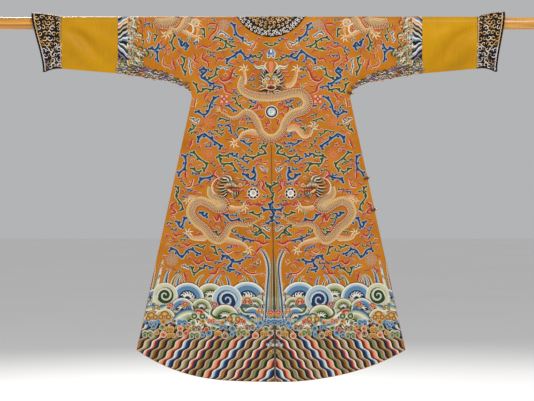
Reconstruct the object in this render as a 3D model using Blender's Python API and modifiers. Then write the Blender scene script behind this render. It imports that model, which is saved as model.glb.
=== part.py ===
"""A Chinese dragon robe hung on its display rod.

The robe hangs as it is shown: a round rod runs through both sleeves, and the cloth is folded over it at
the shoulder line and falls flat in front and behind. Each half of the body is one length of silk, back
and front in one, with a seam down the middle of the back and of the front and a slit below it. A plain
sleeve length and a flared horse-hoof cuff are sewn to the end of each half. The right front lies under
an overlap, which closes down the wearer's right side with toggles.

Frame, in metres: the origin is on the rod's axis in the middle of the robe, +X runs along the rod to the
wearer's right, +Z is up, and the robe's back faces -Y. Every piece is first cut flat, as x across and s
down from the shoulder fold (s below 0 is the back), and then hung over the rod.
"""

import math

import bmesh
import bpy
from mathutils import Vector
from mathutils.bvhtree import BVHTree

# ---------------------------------------------------------------- driving sizes

ROD_RADIUS = 0.024
ROD_LENGTH = 2.150
ROD_BEVEL = 0.0015
ROD_SIDES = 48
ROD_GAP = 0.0008  # the cloth's inner face from the rod

CLOTH = 0.002  # silk, interlining and lining together
BAND = 0.001  # the trimming bands
SEAM = 0.0003  # between two pieces sewn edge to edge
LAID_ON = 0.0004  # between a piece and what it lies on

ROBE_LENGTH = 1.423  # shoulder fold to the middle of the hem
HEM_CORNER_DEPTH = 1.300  # shoulder fold to the hem's corner at the side
HEM_HALF_WIDTH = 0.524
HEM_ROUNDING = {-1: 3.0, 1: 2.2}  # how late the hem turns up towards each corner
SEAM_DRIFT = 0.016  # how far the middle seam hangs to +X at the hem

ARMPIT_HALF_WIDTH = 0.308
ARMPIT_DEPTH = 0.318
SLEEVE_SEAM_SHARE = 0.568  # of the way from the armpit to the cuff seam

# The sleeves hang with the left one drawn out a little further along the rod.
# side: (cuff seam, cuff's top corner, cuff's bottom corner), as distances from the middle
SLEEVE_REACH = {-1: (0.815, 0.932, 0.889), 1: (0.802, 0.910, 0.882)}
CUFF_RISE = {-1: 0.015, 1: 0.019}  # how far the cuff's top corner stands above the shoulder line
CUFF_FOOT_DEPTH = 0.213  # shoulder line to the cuff's bottom corner
CUFF_FLARE = 0.30  # how much deeper the cuff's mouth is than its root
CUFF_BINDING = 0.007

# The underside of the sleeve: (share of the way from the armpit to the cuff seam, depth)
UNDERARM = (
    (0.000, ARMPIT_DEPTH),
    (0.004, 0.303),
    (0.013, 0.291),
    (0.030, 0.281),
    (0.057, 0.2735),
    (0.098, 0.2650),
    (0.160, 0.2555),
    (0.250, 0.2455),
    (0.400, 0.2330),
    (SLEEVE_SEAM_SHARE, 0.2215),
    (1.000, 0.203),
)

# How the hung cloth closes: its two walls start apart on the rod and come together below it.
FOLD_RADIUS = ROD_RADIUS + ROD_GAP + CLOTH
QUARTER_TURN = FOLD_RADIUS * math.pi / 2  # cloth from the top of the fold to the rod's side
REST_HALF_DEPTH = 0.014  # half the robe's thickness below the chest
EDGE_HALF_DEPTH = 0.0022  # half its thickness at the side seams
SETTLE = 0.17  # how far below the rod the walls have come together
LENS = 0.12  # how far in from a side seam the walls are fully apart

# Soft folds of the skirt: (share of the half width, depth where it starts, height, half width as a share)
FOLDS = (
    (-0.84, 0.62, 0.006, 0.13),
    (-0.50, 0.46, -0.006, 0.16),
    (-0.18, 0.66, 0.007, 0.14),
    (0.17, 0.52, -0.006, 0.15),
    (0.47, 0.60, 0.007, 0.15),
    (0.79, 0.44, -0.006, 0.14),
)

SLIT_TOP_DEPTH = 1.020
SLIT_HALF_GAP = 0.0022  # at the hem

NECK_CENTRE = 0.051  # how far in front of the shoulder fold the neck's middle is, on the flat cloth
NECK_RADIUS = 0.057
NECK_BAND_RADIUS = 0.148
NECK_PIPING_RADIUS = 0.0018
NECK_PIPING_INSET = 0.003
BAND_SLIT = 0.0012  # where the neck band opens, on the wearer's right front
BAND_SLIT_ANGLE = math.radians(42)

UNDERLAP_SET_BACK = 0.030  # the hidden front edge, from the middle
UNDERLAP_FROM, UNDERLAP_TO = 0.160, 0.215  # where it is set back, down the flat cloth
OVERLAP_BAND_WIDTH = 0.044
OVERLAP_BAND_INSET = 0.0006
# The overlap's upper edge, from under the neck band to the armpit: (x, s)
OVERLAP_EDGE = (
    (-0.0200, 0.1500),
    (0.0500, 0.1520),
    (0.1050, 0.1555),
    (0.1500, 0.1630),
    (0.1880, 0.1800),
    (0.2230, 0.2090),
    (0.2560, 0.2480),
    (0.2860, 0.2920),
    (0.3200, 0.3360),
    (0.3600, 0.3850),
)

BALL_RADIUS = 0.0047
CORD_RADIUS = 0.0013
STEM_RADIUS = 0.0032
TOGGLE_REACH = 0.019  # from a ball to the end of its cords
CORD_PAIR = 1.3 * CORD_RADIUS  # from a toggle's middle line to each of its loop's two cords
STEM_START = 0.004  # how far a front toggle's stem starts from the middle of its ball
NECK_TOGGLE_INSET = 0.013  # from the neck's edge to the neck band's toggle
OVERLAP_TOGGLE_RISE = 0.004  # how far the overlap's toggle stands above its edge
BAND_END_DOWN = 0.62  # below the whole of the overlap's band, down the flat cloth
STEM_MARKS = (0.8, 0.5, 0.2)  # where a side toggle's stem lies on the back, as shares of TOGGLE_REACH
STEM_TURN_IN = 0.001  # how far inside the side edge that stem turns
LOOP_TURN_IN = 0.002  # and the loop on the front
LOOP_SPREAD = 1.15  # of the loop's ring, where it comes over the edge
DIAGONAL = math.sqrt(0.5)
NECK_COLUMNS = 0.6  # the body's columns up to this share of its width lie under the neck band
CUTTER_SPARE = 0.01  # how far a cutter passes what it cuts
OVERLAP_SPAN = (-0.05, 0.5)  # past both ends of the overlap's upper edge, from the middle
# The toggles on the side: (number, depth, how far the cloth outside the underlap stands on the front)
SIDE_TOGGLES = (
    (3, 0.298, 2 * LAID_ON + CLOTH + BAND),
    (4, 0.629, LAID_ON + CLOTH),
    (5, 0.752, LAID_ON + CLOTH),
)

# Columns and rows of the cloth
BODY_COLUMNS = (0, 0.09, 0.18, 0.27, 0.36, 0.46, 0.56, 0.66, 0.76, 0.86, 0.94, 1)
FOLD_STEPS = 6  # from the top of the fold to the rod's side
CHEST_STEPS = 5
SKIRT_STEPS = 10
SLEEVE_STEPS = 3
CUFF_STEPS = 4

SILK = {"colour": (0.50, 0.18, 0.02), "roughness": 0.55, "metallic": 0.0}
YELLOW_SILK = {"colour": (0.51, 0.24, 0.005), "roughness": 0.45, "metallic": 0.0}
DARK_SILK = {"colour": (0.02, 0.016, 0.022), "roughness": 0.5, "metallic": 0.0}
GILT = {"colour": (0.83, 0.60, 0.25), "roughness": 0.3, "metallic": 1.0}
WOOD = {"colour": (0.50, 0.22, 0.04), "roughness": 0.35, "metallic": 0.0}


# ---------------------------------------------------------------- the cut


def smooth(value, low, high):
    """0 up to low, 1 from high, and a soft step between."""
    t = min(max((value - low) / (high - low), 0.0), 1.0)
    return t * t * (3 - 2 * t)


def between(value, rows):
    """Reads a table of (value, result) rows that rises in value."""
    for (a, at_a), (b, at_b) in zip(rows, rows[1:]):
        if value <= b:
            return at_a + (at_b - at_a) * (value - a) / (b - a)
    return rows[-1][1]


def flat_from_depth(depth):
    """Cloth from the top of the fold down to this depth below it."""
    if depth < FOLD_RADIUS:
        return FOLD_RADIUS * math.acos(1 - depth / FOLD_RADIUS)
    return QUARTER_TURN + depth - FOLD_RADIUS


def depth_from_flat(s):
    s = abs(s)
    if s < QUARTER_TURN:
        return FOLD_RADIUS * (1 - math.cos(s / FOLD_RADIUS))
    return FOLD_RADIUS + s - QUARTER_TURN


def sleeve_x(side, share):
    return ARMPIT_HALF_WIDTH + share * (SLEEVE_REACH[side][0] - ARMPIT_HALF_WIDTH)


def side_x(depth):
    """The robe's half width at this depth, below the armpit."""
    down = (depth - ARMPIT_DEPTH) / (HEM_CORNER_DEPTH - ARMPIT_DEPTH)
    return ARMPIT_HALF_WIDTH + (HEM_HALF_WIDTH - ARMPIT_HALF_WIDTH) * min(max(down, 0), 1)


def hem_depth(side, share):
    """The hem's depth at this share of its half width."""
    turned_up = ROBE_LENGTH - HEM_CORNER_DEPTH
    return ROBE_LENGTH - turned_up * share ** HEM_ROUNDING[side]


def closed_edge(side):
    """The seam under the sleeve and down the side, as (x, depth) points."""
    line = [(SLEEVE_REACH[side][2], CUFF_FOOT_DEPTH)]
    line += [(sleeve_x(side, share), depth) for share, depth in reversed(UNDERARM)]
    return line + [(HEM_HALF_WIDTH, HEM_CORNER_DEPTH), (HEM_HALF_WIDTH + 0.05, ROBE_LENGTH + 0.1)]


CLOSED_EDGES = {side: closed_edge(side) for side in (-1, 1)}


def from_closed_edge(side, x, depth):
    """How far in from the underarm and side seam a point is."""
    nearest = math.inf
    line = CLOSED_EDGES[side]
    for (ax, ad), (bx, bd) in zip(line, line[1:]):
        dx, dd = bx - ax, bd - ad
        t = ((x - ax) * dx + (depth - ad) * dd) / (dx * dx + dd * dd)
        t = min(max(t, 0.0), 1.0)
        nearest = min(nearest, math.hypot(x - ax - t * dx, depth - ad - t * dd))
    return nearest


# ---------------------------------------------------------------- the hang


def soft_folds(x, depth):
    """How far the skirt's soft folds move both walls along Y."""
    share = x / side_x(depth)
    total = 0.0
    for place, start, height, width in FOLDS:
        total += height * smooth(depth, start, ROBE_LENGTH) * math.exp(-(((share - place) / width) ** 2))
    return total


def cuff_share(side, x):
    """0 at the cuff seam, 1 at the cuff's top corner."""
    seam, tip = SLEEVE_REACH[side][:2]
    return min(max((abs(x) - seam) / (tip - seam), 0.0), 1.0)


def half_depth(side, x, depth):
    """From the robe's middle plane to the outer face of the cloth, below the rod's axis."""
    fallen = math.exp(-(((depth - FOLD_RADIUS) / SETTLE) ** 2))
    hanging = REST_HALF_DEPTH + (FOLD_RADIUS - REST_HALF_DEPTH) * fallen
    inward = min(from_closed_edge(side, abs(x), depth) / LENS, 1.0)
    return EDGE_HALF_DEPTH + (hanging - EDGE_HALF_DEPTH) * (1 - (1 - inward) ** 2)


def hang(x, s, height):
    """Where a point of the flat cloth is when it hangs. Height is along the cloth's outward side."""
    side = -1 if x < 0 else 1
    face = -1 if s < 0 else 1
    out = cuff_share(side, x)
    lift = CUFF_RISE[side] * (1 - (1 - out) ** 2)
    if abs(s) < QUARTER_TURN:
        turn = s / FOLD_RADIUS
        radius = FOLD_RADIUS + height
        y, z = radius * math.sin(turn), radius * math.cos(turn)
    else:
        depth = depth_from_flat(s)
        y = face * (half_depth(side, x, depth) + height) + soft_folds(x, depth)
        z = FOLD_RADIUS - depth
    return Vector((x, y * (1 + CUFF_FLARE * out), z + lift))


# ---------------------------------------------------------------- making pieces


def clear_scene():
    for thing in list(bpy.data.objects):
        bpy.data.objects.remove(thing)


def new_collection(name):
    collection = bpy.data.collections.new(name)
    bpy.context.scene.collection.children.link(collection)
    return collection


def new_material(name, look):
    material = bpy.data.materials.new(name)
    material.use_nodes = True
    shader = material.node_tree.nodes["Principled BSDF"]
    shader.inputs["Base Color"].default_value = (*look["colour"], 1)
    shader.inputs["Roughness"].default_value = look["roughness"]
    shader.inputs["Metallic"].default_value = look["metallic"]
    return material


def add_object(name, data, collection, material=None):
    thing = bpy.data.objects.new(name, data)
    collection.objects.link(thing)
    if material:
        data.materials.append(material)
    return thing


def cloth_mesh(name, columns):
    """Triangles between neighbouring columns of (x, s) points, from -X to +X. A shorter column meets
    the middle of a longer one, as a sleeve meets the body."""
    points, index = [], []
    for column in columns:
        index.append(range(len(points), len(points) + len(column)))
        points += [(x, s, 0.0) for x, s in column]
    faces = []
    for left, right in zip(index, index[1:]):
        rows = min(len(left), len(right))
        left = left[(len(left) - rows) // 2 :]
        right = right[(len(right) - rows) // 2 :]
        for row in range(rows - 1):
            faces.append((left[row], right[row], right[row + 1]))
            faces.append((left[row], right[row + 1], left[row + 1]))
    mesh = bpy.data.meshes.new(name)
    mesh.from_pydata(points, [], faces)
    return mesh


def without_doubles(mesh):
    """Joins the shared columns of a body half and its sleeve."""
    work = bmesh.new()
    work.from_mesh(mesh)
    bmesh.ops.remove_doubles(work, verts=work.verts, dist=1e-6)
    work.to_mesh(mesh)
    work.free()
    return mesh


def outline_cutter(name, outline, collection):
    """A prism through the flat cloth, from a closed outline of (x, s) points."""
    curve = bpy.data.curves.new(name, "CURVE")
    curve.dimensions = "2D"
    curve.fill_mode = "BOTH"
    curve.extrude = 0.05
    spline = curve.splines.new("POLY")
    spline.points.add(len(outline) - 1)
    for point, (x, s) in zip(spline.points, outline):
        point.co = (x, s, 0, 1)
    spline.use_cyclic_u = True
    drawn = add_object(name, curve, collection)
    bpy.context.view_layer.update()
    graph = bpy.context.evaluated_depsgraph_get()
    mesh = bpy.data.meshes.new_from_object(drawn.evaluated_get(graph))
    bpy.data.objects.remove(drawn)
    work = bmesh.new()
    work.from_mesh(mesh)
    bmesh.ops.remove_doubles(work, verts=work.verts, dist=1e-6)
    bmesh.ops.recalc_face_normals(work, faces=work.faces)
    work.to_mesh(mesh)
    work.free()
    cutter = add_object(name, mesh, collection)
    cutter.hide_render = True
    cutter.display_type = "WIRE"
    return cutter


def circle(radius, sides=64):
    """Points round the neck's middle, on the flat cloth."""
    turns = [2 * math.pi * step / sides for step in range(sides)]
    return [(radius * math.cos(turn), NECK_CENTRE + radius * math.sin(turn)) for turn in turns]


def triangle_weights(point, corners):
    """How much each corner of a flat triangle counts at this point."""
    (ax, ay), (bx, by), (cx, cy) = [corner[:2] for corner in corners]
    whole = (bx - ax) * (cy - ay) - (cx - ax) * (by - ay)
    at_b = ((point[0] - ax) * (cy - ay) - (cx - ax) * (point[1] - ay)) / whole
    at_c = ((bx - ax) * (point[1] - ay) - (point[0] - ax) * (by - ay)) / whole
    return 1 - at_b - at_c, at_b, at_c


def facets_of(mesh):
    """A flat piece's corners, its facets, and a finder of the facet at a point."""
    corners = [tuple(vertex.co) for vertex in mesh.vertices]
    facets = [tuple(face.vertices) for face in mesh.polygons]
    return corners, facets, BVHTree.FromPolygons(corners, facets)


def hung(cut, x, s, height, raised=None):
    """Where a point hangs on a piece that is flat between its own columns and rows, so that pieces cut
    by the same columns and rows lie evenly on one another."""
    corners, facets, finder = cut
    facet = facets[finder.find_nearest((x, s, 0))[2]]
    weights = triangle_weights((x, s), [corners[corner] for corner in facet])
    place = Vector((0, 0, 0))
    for weight, corner in zip(weights, facet):
        at_x, at_s, _ = corners[corner]
        place += weight * hang(at_x, at_s, height + (raised(at_x, at_s) if raised else 0.0))
    return place


def cloth_piece(name, columns, thickness, material, collection, cuts=(), raised=None):
    """One piece of cloth: cut flat, given its thickness, trimmed by cutters, and hung on the rod.

    cuts are (operation, cutter) pairs. raised gives how far out from the cloth below a point's outer
    face lies."""
    flat = without_doubles(cloth_mesh(name, columns))
    cut = facets_of(flat)
    piece = add_object(name, flat, collection, material)
    solid = piece.modifiers.new("thickness", "SOLIDIFY")
    solid.thickness = thickness
    solid.offset = -1
    for operation, cutter in cuts:
        trim = piece.modifiers.new(cutter.name, "BOOLEAN")
        trim.operation = operation
        trim.object = cutter
    bpy.context.view_layer.update()
    graph = bpy.context.evaluated_depsgraph_get()
    mesh = bpy.data.meshes.new_from_object(piece.evaluated_get(graph))
    piece.modifiers.clear()
    work = bmesh.new()
    work.from_mesh(mesh)
    bmesh.ops.triangulate(work, faces=work.faces)
    work.to_mesh(mesh)
    work.free()
    for vertex in mesh.vertices:
        vertex.co = hung(cut, *vertex.co, raised)
    piece.data = mesh
    mesh.name = name
    mesh.shade_smooth()
    mesh.set_sharp_from_angle(angle=math.radians(40))
    return piece


def tube(name, points, radius, material, collection, closed=False):
    """A round cord through these points."""
    curve = bpy.data.curves.new(name, "CURVE")
    curve.dimensions = "3D"
    curve.bevel_depth = radius
    curve.bevel_resolution = 2
    curve.use_fill_caps = not closed
    spline = curve.splines.new("POLY")
    spline.points.add(len(points) - 1)
    for point, place in zip(spline.points, points):
        point.co = (*place, 1)
    spline.use_cyclic_u = closed
    return add_object(name, curve, collection, material)


# ---------------------------------------------------------------- rows and columns


def upper_rows(bottom_depth):
    """Flat distances from the fold down to the sleeve's underside or the chest's end."""
    rows = [QUARTER_TURN * step / FOLD_STEPS for step in range(FOLD_STEPS + 1)]
    below = flat_from_depth(bottom_depth) - QUARTER_TURN
    return rows + [QUARTER_TURN + below * (step + 1) / CHEST_STEPS for step in range(CHEST_STEPS)]


def both_faces(rows):
    """The same rows on the back, over the fold, and on the front."""
    return [-s for s in reversed(rows[1:])] + list(rows)


def middle_x(side, s):
    """Where a half's inner edge is, from the robe's middle: the seam, the slit, or the set-back underlap."""
    gap = SEAM / 2 + SLIT_HALF_GAP * smooth(depth_from_flat(s), SLIT_TOP_DEPTH, ROBE_LENGTH)
    if side > 0 and s > 0:
        return gap + UNDERLAP_SET_BACK * smooth(s, UNDERLAP_FROM, UNDERLAP_TO)
    return gap


def body_point(side, share, s, inner=middle_x):
    """A point at this share of the way from the half's inner edge to its side edge."""
    depth = depth_from_flat(s)
    drift = SEAM_DRIFT * smooth(depth, ARMPIT_DEPTH, ROBE_LENGTH)
    start = side * drift + inner(side, s)
    return side * (start + share * (side_x(depth) - start)), s


def body_column(side, share, inner=middle_x):
    hem = flat_from_depth(hem_depth(side, share))
    armpit = flat_from_depth(ARMPIT_DEPTH)
    skirt = [armpit + (hem - armpit) * (step + 1) / SKIRT_STEPS for step in range(SKIRT_STEPS)]
    rows = both_faces(upper_rows(ARMPIT_DEPTH) + skirt)
    return [body_point(side, share, s, inner) for s in rows]


def sleeve_column(side, share):
    depth = between(share, UNDERARM)
    return [(side * sleeve_x(side, share), s) for s in both_faces(upper_rows(depth))]


def in_order(side, columns):
    """Columns run from -X to +X, so that the cloth's outer face is up when it lies flat."""
    return columns if side > 0 else columns[::-1]


# ---------------------------------------------------------------- the robe


def half_columns(side):
    columns = [body_column(side, share) for share in BODY_COLUMNS]
    shares = [share for share, _ in UNDERARM if share < SLEEVE_SEAM_SHARE]
    columns += [sleeve_column(side, share) for share in shares[1:]]
    seam_share = SLEEVE_SEAM_SHARE - SEAM / (SLEEVE_REACH[side][0] - ARMPIT_HALF_WIDTH) / 2
    columns.append(sleeve_column(side, seam_share))
    return in_order(side, columns)


def body_half(name, side, material, collection, neck):
    """Back and front in one, with the upper part of the sleeve."""
    cuts = [("DIFFERENCE", neck)]
    return cloth_piece(name, half_columns(side), CLOTH, material, collection, cuts)


def sleeve_length(name, side, material, collection):
    """The plain length between the body's seam and the cuff."""
    trim = SEAM / (SLEEVE_REACH[side][0] - ARMPIT_HALF_WIDTH) / 2
    low, high = SLEEVE_SEAM_SHARE + trim, 1 - trim
    shares = [low + (high - low) * step / SLEEVE_STEPS for step in range(SLEEVE_STEPS + 1)]
    columns = [sleeve_column(side, share) for share in shares]
    return cloth_piece(name, in_order(side, columns), CLOTH, material, collection)


def cuff_column(side, share, inset=0.0):
    """Runs from the straight cuff seam, at share 0, to the slanting mouth, at share 1."""
    seam, tip, foot = SLEEVE_REACH[side]
    root_depth = UNDERARM[-1][1]
    bottom = root_depth + (CUFF_FOOT_DEPTH + CUFF_RISE[side] * share - root_depth) * share
    column = []
    for s in both_faces(upper_rows(bottom)):
        down = abs(s) / flat_from_depth(bottom)
        mouth = tip + (foot - tip) * smooth(down, 0, 1) - inset
        column.append((side * (seam + SEAM / 2 + share * (mouth - seam - SEAM / 2)), s))
    return column


def cuff(name, side, material, collection):
    shares = [step / CUFF_STEPS for step in range(CUFF_STEPS + 1)]
    columns = [cuff_column(side, share, CUFF_BINDING + SEAM) for share in shares]
    return cloth_piece(name, in_order(side, columns), CLOTH, material, collection)


def cuff_binding(name, side, material, collection):
    """The folded strip that edges the cuff's mouth."""
    columns = [cuff_column(side, 1.0, CUFF_BINDING), cuff_column(side, 1.0)]
    return cloth_piece(
        name, in_order(side, columns), CLOTH + 2 * LAID_ON, material, collection, raised=lambda x, s: LAID_ON
    )


def seam_only(side, s):
    """The overlap's inner edge, which is sewn to the left front."""
    return SEAM / 2 + SLIT_HALF_GAP * smooth(depth_from_flat(s), SLIT_TOP_DEPTH, ROBE_LENGTH)


def overlap_lift(x, s):
    """The overlap starts level with the left front and steps up onto the underlap."""
    first = body_point(1, 0.0, s, seam_only)[0]
    last = body_point(1, 0.0, s)[0]
    up = (x - first) / (last - first) if last - first > 1e-5 else 1.0
    return (LAID_ON + CLOTH) * min(max(up, 0.0), 1.0)


def overlap_columns():
    """The underlap's own columns, with one more at the middle seam, front only."""
    columns = [body_column(1, 0.0, seam_only)] + [body_column(1, share) for share in BODY_COLUMNS]
    return [[point for point in column if point[1] >= QUARTER_TURN] for column in columns]


def rounded(points, steps=3):
    """A smooth line through these points."""
    line = []
    for index in range(len(points) - 1):
        before, start, end, after = [
            Vector(points[min(max(index + move, 0), len(points) - 1)]) for move in (-1, 0, 1, 2)
        ]
        for step in range(steps):
            t = step / steps
            line.append(
                start
                + (end - before) * (t / 2)
                + (2 * before - 5 * start + 4 * end - after) * (t * t / 2)
                + (3 * start - before - 3 * end + after) * (t**3 / 2)
            )
    return line + [Vector(points[-1])]


def moved_in(line, distance):
    """A line moved down the cloth, at right angles to itself."""
    moved = []
    for index, point in enumerate(line):
        along = line[min(index + 1, len(line) - 1)] - line[max(index - 1, 0)]
        moved.append(point + Vector((-along.y, along.x)).normalized() * distance)
    return moved


def overlap(material, collection, rim, helpers):
    edge = rounded(OVERLAP_EDGE)
    start, end = OVERLAP_SPAN
    above = [(start, 0.0), (start, edge[0].y), *edge, (end, edge[-1].y), (end, 0.0)]
    cutter = outline_cutter("cut_overlap_edge", above, helpers)
    cuts = [("DIFFERENCE", cutter), ("DIFFERENCE", rim)]
    return cloth_piece("overlap", overlap_columns(), CLOTH, material, collection, cuts, overlap_lift)


def overlap_band(material, collection, rim, helpers):
    """The dark band along the overlap's edge, from the neck band to the armpit."""
    edge = rounded(OVERLAP_EDGE)
    outline = moved_in(edge, OVERLAP_BAND_INSET) + moved_in(edge, OVERLAP_BAND_WIDTH)[::-1]
    cuts = [("INTERSECT", outline_cutter("keep_band", outline, helpers)), ("DIFFERENCE", rim)]
    columns = [[point for point in column if point[1] < BAND_END_DOWN] for column in overlap_columns()]

    def raised(x, s):
        return overlap_lift(x, s) + LAID_ON + BAND

    return cloth_piece("overlap_band", columns, BAND, material, collection, cuts, raised)


def neck_band(material, collection, helpers):
    """The broad dark band round the neck, cut by the same rows and columns as the body it lies on."""
    shares = [share for share in BODY_COLUMNS if share < NECK_COLUMNS]
    columns = [body_column(-1, share, seam_only) for share in reversed(shares)]
    columns += [body_column(1, share, seam_only) for share in shares]
    low = flat_from_depth(ARMPIT_DEPTH)
    columns = [[point for point in column if abs(point[1]) < low] for column in columns]
    outer = outline_cutter("keep_neck_band", circle(NECK_BAND_RADIUS), helpers)
    inner = outline_cutter("cut_neck_band", circle(NECK_RADIUS + LAID_ON), helpers)
    ends = (NECK_RADIUS - CUTTER_SPARE, NECK_BAND_RADIUS + CUTTER_SPARE)
    along = (math.cos(BAND_SLIT_ANGLE), math.sin(BAND_SLIT_ANGLE))
    across = (-along[1] * BAND_SLIT / 2, along[0] * BAND_SLIT / 2)
    corners = [(ends[0], 1), (ends[0], -1), (ends[1], -1), (ends[1], 1)]
    opening = [
        (reach * along[0] + way * across[0], NECK_CENTRE + reach * along[1] + way * across[1])
        for reach, way in corners
    ]
    slit = outline_cutter("cut_band_slit", opening, helpers)
    cuts = [("INTERSECT", outer), ("DIFFERENCE", inner), ("DIFFERENCE", slit)]
    return cloth_piece(
        "neck_band", columns, BAND, material, collection, cuts, raised=lambda x, s: LAID_ON + BAND
    )


def neck_piping(material, collection):
    points = [hang(x, s, 0.0) for x, s in circle(NECK_RADIUS - NECK_PIPING_INSET, 48)]
    return tube("neck_piping", points, NECK_PIPING_RADIUS, material, collection, closed=True)


# ---------------------------------------------------------------- toggles


def ball(name, centre, material, collection):
    work = bmesh.new()
    bmesh.ops.create_uvsphere(work, u_segments=16, v_segments=10, radius=BALL_RADIUS)
    mesh = bpy.data.meshes.new(name)
    work.to_mesh(mesh)
    work.free()
    mesh.shade_smooth()
    button = add_object(name, mesh, collection, material)
    button.location = centre
    return button


def toggle_cords(number, loop, stem, looks, collection):
    tube(f"loop_{number}", loop, CORD_RADIUS, looks["dark"], collection)
    tube(f"stem_{number}", stem, STEM_RADIUS, looks["dark"], collection)


def front_toggle(number, x, s, way, top, below, cut, looks, collection):
    """A toggle that lies on the robe's front. Its loop lies on a piece whose face is at top, and its
    stem, in the direction way, on one whose face is at below."""
    across = (-way[1], way[0])

    def at(along, aside, height):
        flat_x = x + way[0] * along + across[0] * aside
        flat_s = s + way[1] * along + across[1] * aside
        return hung(cut, flat_x, flat_s, height)

    on_stem = max(top, below + 2 * STEM_RADIUS + LAID_ON) + LAID_ON
    ball(f"button_{number}", at(0, 0, on_stem + BALL_RADIUS), looks["gilt"], collection)
    ring = BALL_RADIUS + CORD_RADIUS
    turns = [math.radians(-150 + 30 * step) for step in range(11)]
    loop = [at(ring * math.cos(t), ring * math.sin(t), on_stem + CORD_RADIUS) for t in turns]
    for aside, place in ((-CORD_PAIR, 0), (CORD_PAIR, len(loop) + 1)):
        loop.insert(place, at(-TOGGLE_REACH, aside, top + LAID_ON + CORD_RADIUS))
    lying = below + LAID_ON + STEM_RADIUS
    stem = [at(STEM_START, 0, lying), at(TOGGLE_REACH, 0, lying)]
    toggle_cords(number, loop, stem, looks, collection)


def side_toggle(number, depth, lift, cut, looks, collection):
    """A toggle on the side edge. Its stem comes from the back, its loop from the front goes round the
    stem, and its ball stands off the edge."""
    below = [point for point in CLOSED_EDGES[1] if point[1] > depth][0]
    above = [point for point in CLOSED_EDGES[1] if point[1] <= depth][-1]
    share = (depth - above[1]) / (below[1] - above[1])
    edge = Vector((above[0] + share * (below[0] - above[0]), 0, FOLD_RADIUS - depth))
    outward = Vector((below[1] - above[1], 0, below[0] - above[0])).normalized()
    edge.y = soft_folds(edge.x, depth)
    front, up = Vector((0, 1, 0)), Vector((-outward.z, 0, outward.x))

    def on_cloth(inward, aside, face, height):
        place = edge - outward * inward + up * aside
        s = face * flat_from_depth(FOLD_RADIUS - place.z)
        return hung(cut, place.x, s, height)

    stem_out = EDGE_HALF_DEPTH + STEM_RADIUS + 2 * LAID_ON
    ring_at = CORD_RADIUS + LAID_ON
    on_back = [on_cloth(TOGGLE_REACH * mark, 0, -1, STEM_RADIUS + 3 * LAID_ON) for mark in STEM_MARKS]
    stem = [
        *on_back,
        edge - front * stem_out - outward * STEM_TURN_IN,
        edge - front * stem_out + outward * (ring_at + CORD_RADIUS),
    ]
    ball_at = stem[-1] + outward * (LAID_ON + BALL_RADIUS)
    ball(f"button_{number}", ball_at, looks["gilt"], collection)
    ring = STEM_RADIUS + CORD_RADIUS + LAID_ON
    centre = edge - front * stem_out + outward * ring_at
    on_front = lift + CORD_RADIUS + 4 * LAID_ON
    half = [
        on_cloth(TOGGLE_REACH, CORD_PAIR, 1, on_front),
        on_cloth(TOGGLE_REACH / 2, ring * DIAGONAL, 1, on_front),
        on_cloth(LOOP_TURN_IN, ring, 1, on_front),
        edge + outward * ring_at + front * (EDGE_HALF_DEPTH + lift) + up * ring * LOOP_SPREAD,
        centre + up * ring,
        centre + (up - front) * ring * DIAGONAL,
    ]
    other = [place - up * 2 * (place - edge).dot(up) for place in reversed(half)]
    toggle_cords(number, [*half, centre - front * ring, *other], stem, looks, collection)


def toggles(looks, collection):
    cut = facets_of(without_doubles(cloth_mesh("right_half", half_columns(1))))
    on_band = LAID_ON + BAND
    reach = NECK_RADIUS + NECK_TOGGLE_INSET
    along = (math.cos(BAND_SLIT_ANGLE), math.sin(BAND_SLIT_ANGLE))
    place = (reach * along[0], NECK_CENTRE + reach * along[1])
    front_toggle(1, *place, (along[1], -along[0]), on_band, on_band, cut, looks, collection)
    edge = rounded(OVERLAP_EDGE)
    middle = len(edge) // 2 + 1
    way = -(moved_in(edge, 1)[middle] - edge[middle])
    place = edge[middle] + way * OVERLAP_TOGGLE_RISE
    on_overlap_band = 2 * LAID_ON + CLOTH + BAND
    front_toggle(2, *place, tuple(way), on_overlap_band, 0.0, cut, looks, collection)
    for number, depth, lift in SIDE_TOGGLES:
        side_toggle(number, depth, lift, cut, looks, collection)


# ---------------------------------------------------------------- the rod


def rod(material, collection):
    """A plain round pole along X, on the origin."""
    work = bmesh.new()
    bmesh.ops.create_cone(
        work,
        cap_ends=True,
        segments=ROD_SIDES,
        radius1=ROD_RADIUS,
        radius2=ROD_RADIUS,
        depth=ROD_LENGTH,
    )
    mesh = bpy.data.meshes.new("rod")
    work.to_mesh(mesh)
    work.free()
    pole = add_object("rod", mesh, collection, material)
    pole.rotation_euler = (0, math.pi / 2, 0)
    edge = pole.modifiers.new("rounded ends", "BEVEL")
    edge.width = ROD_BEVEL
    edge.segments = 1
    edge.limit_method = "ANGLE"
    edge.angle_limit = math.radians(60)
    mesh.shade_smooth()
    mesh.set_sharp_from_angle(angle=math.radians(40))
    return pole


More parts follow.
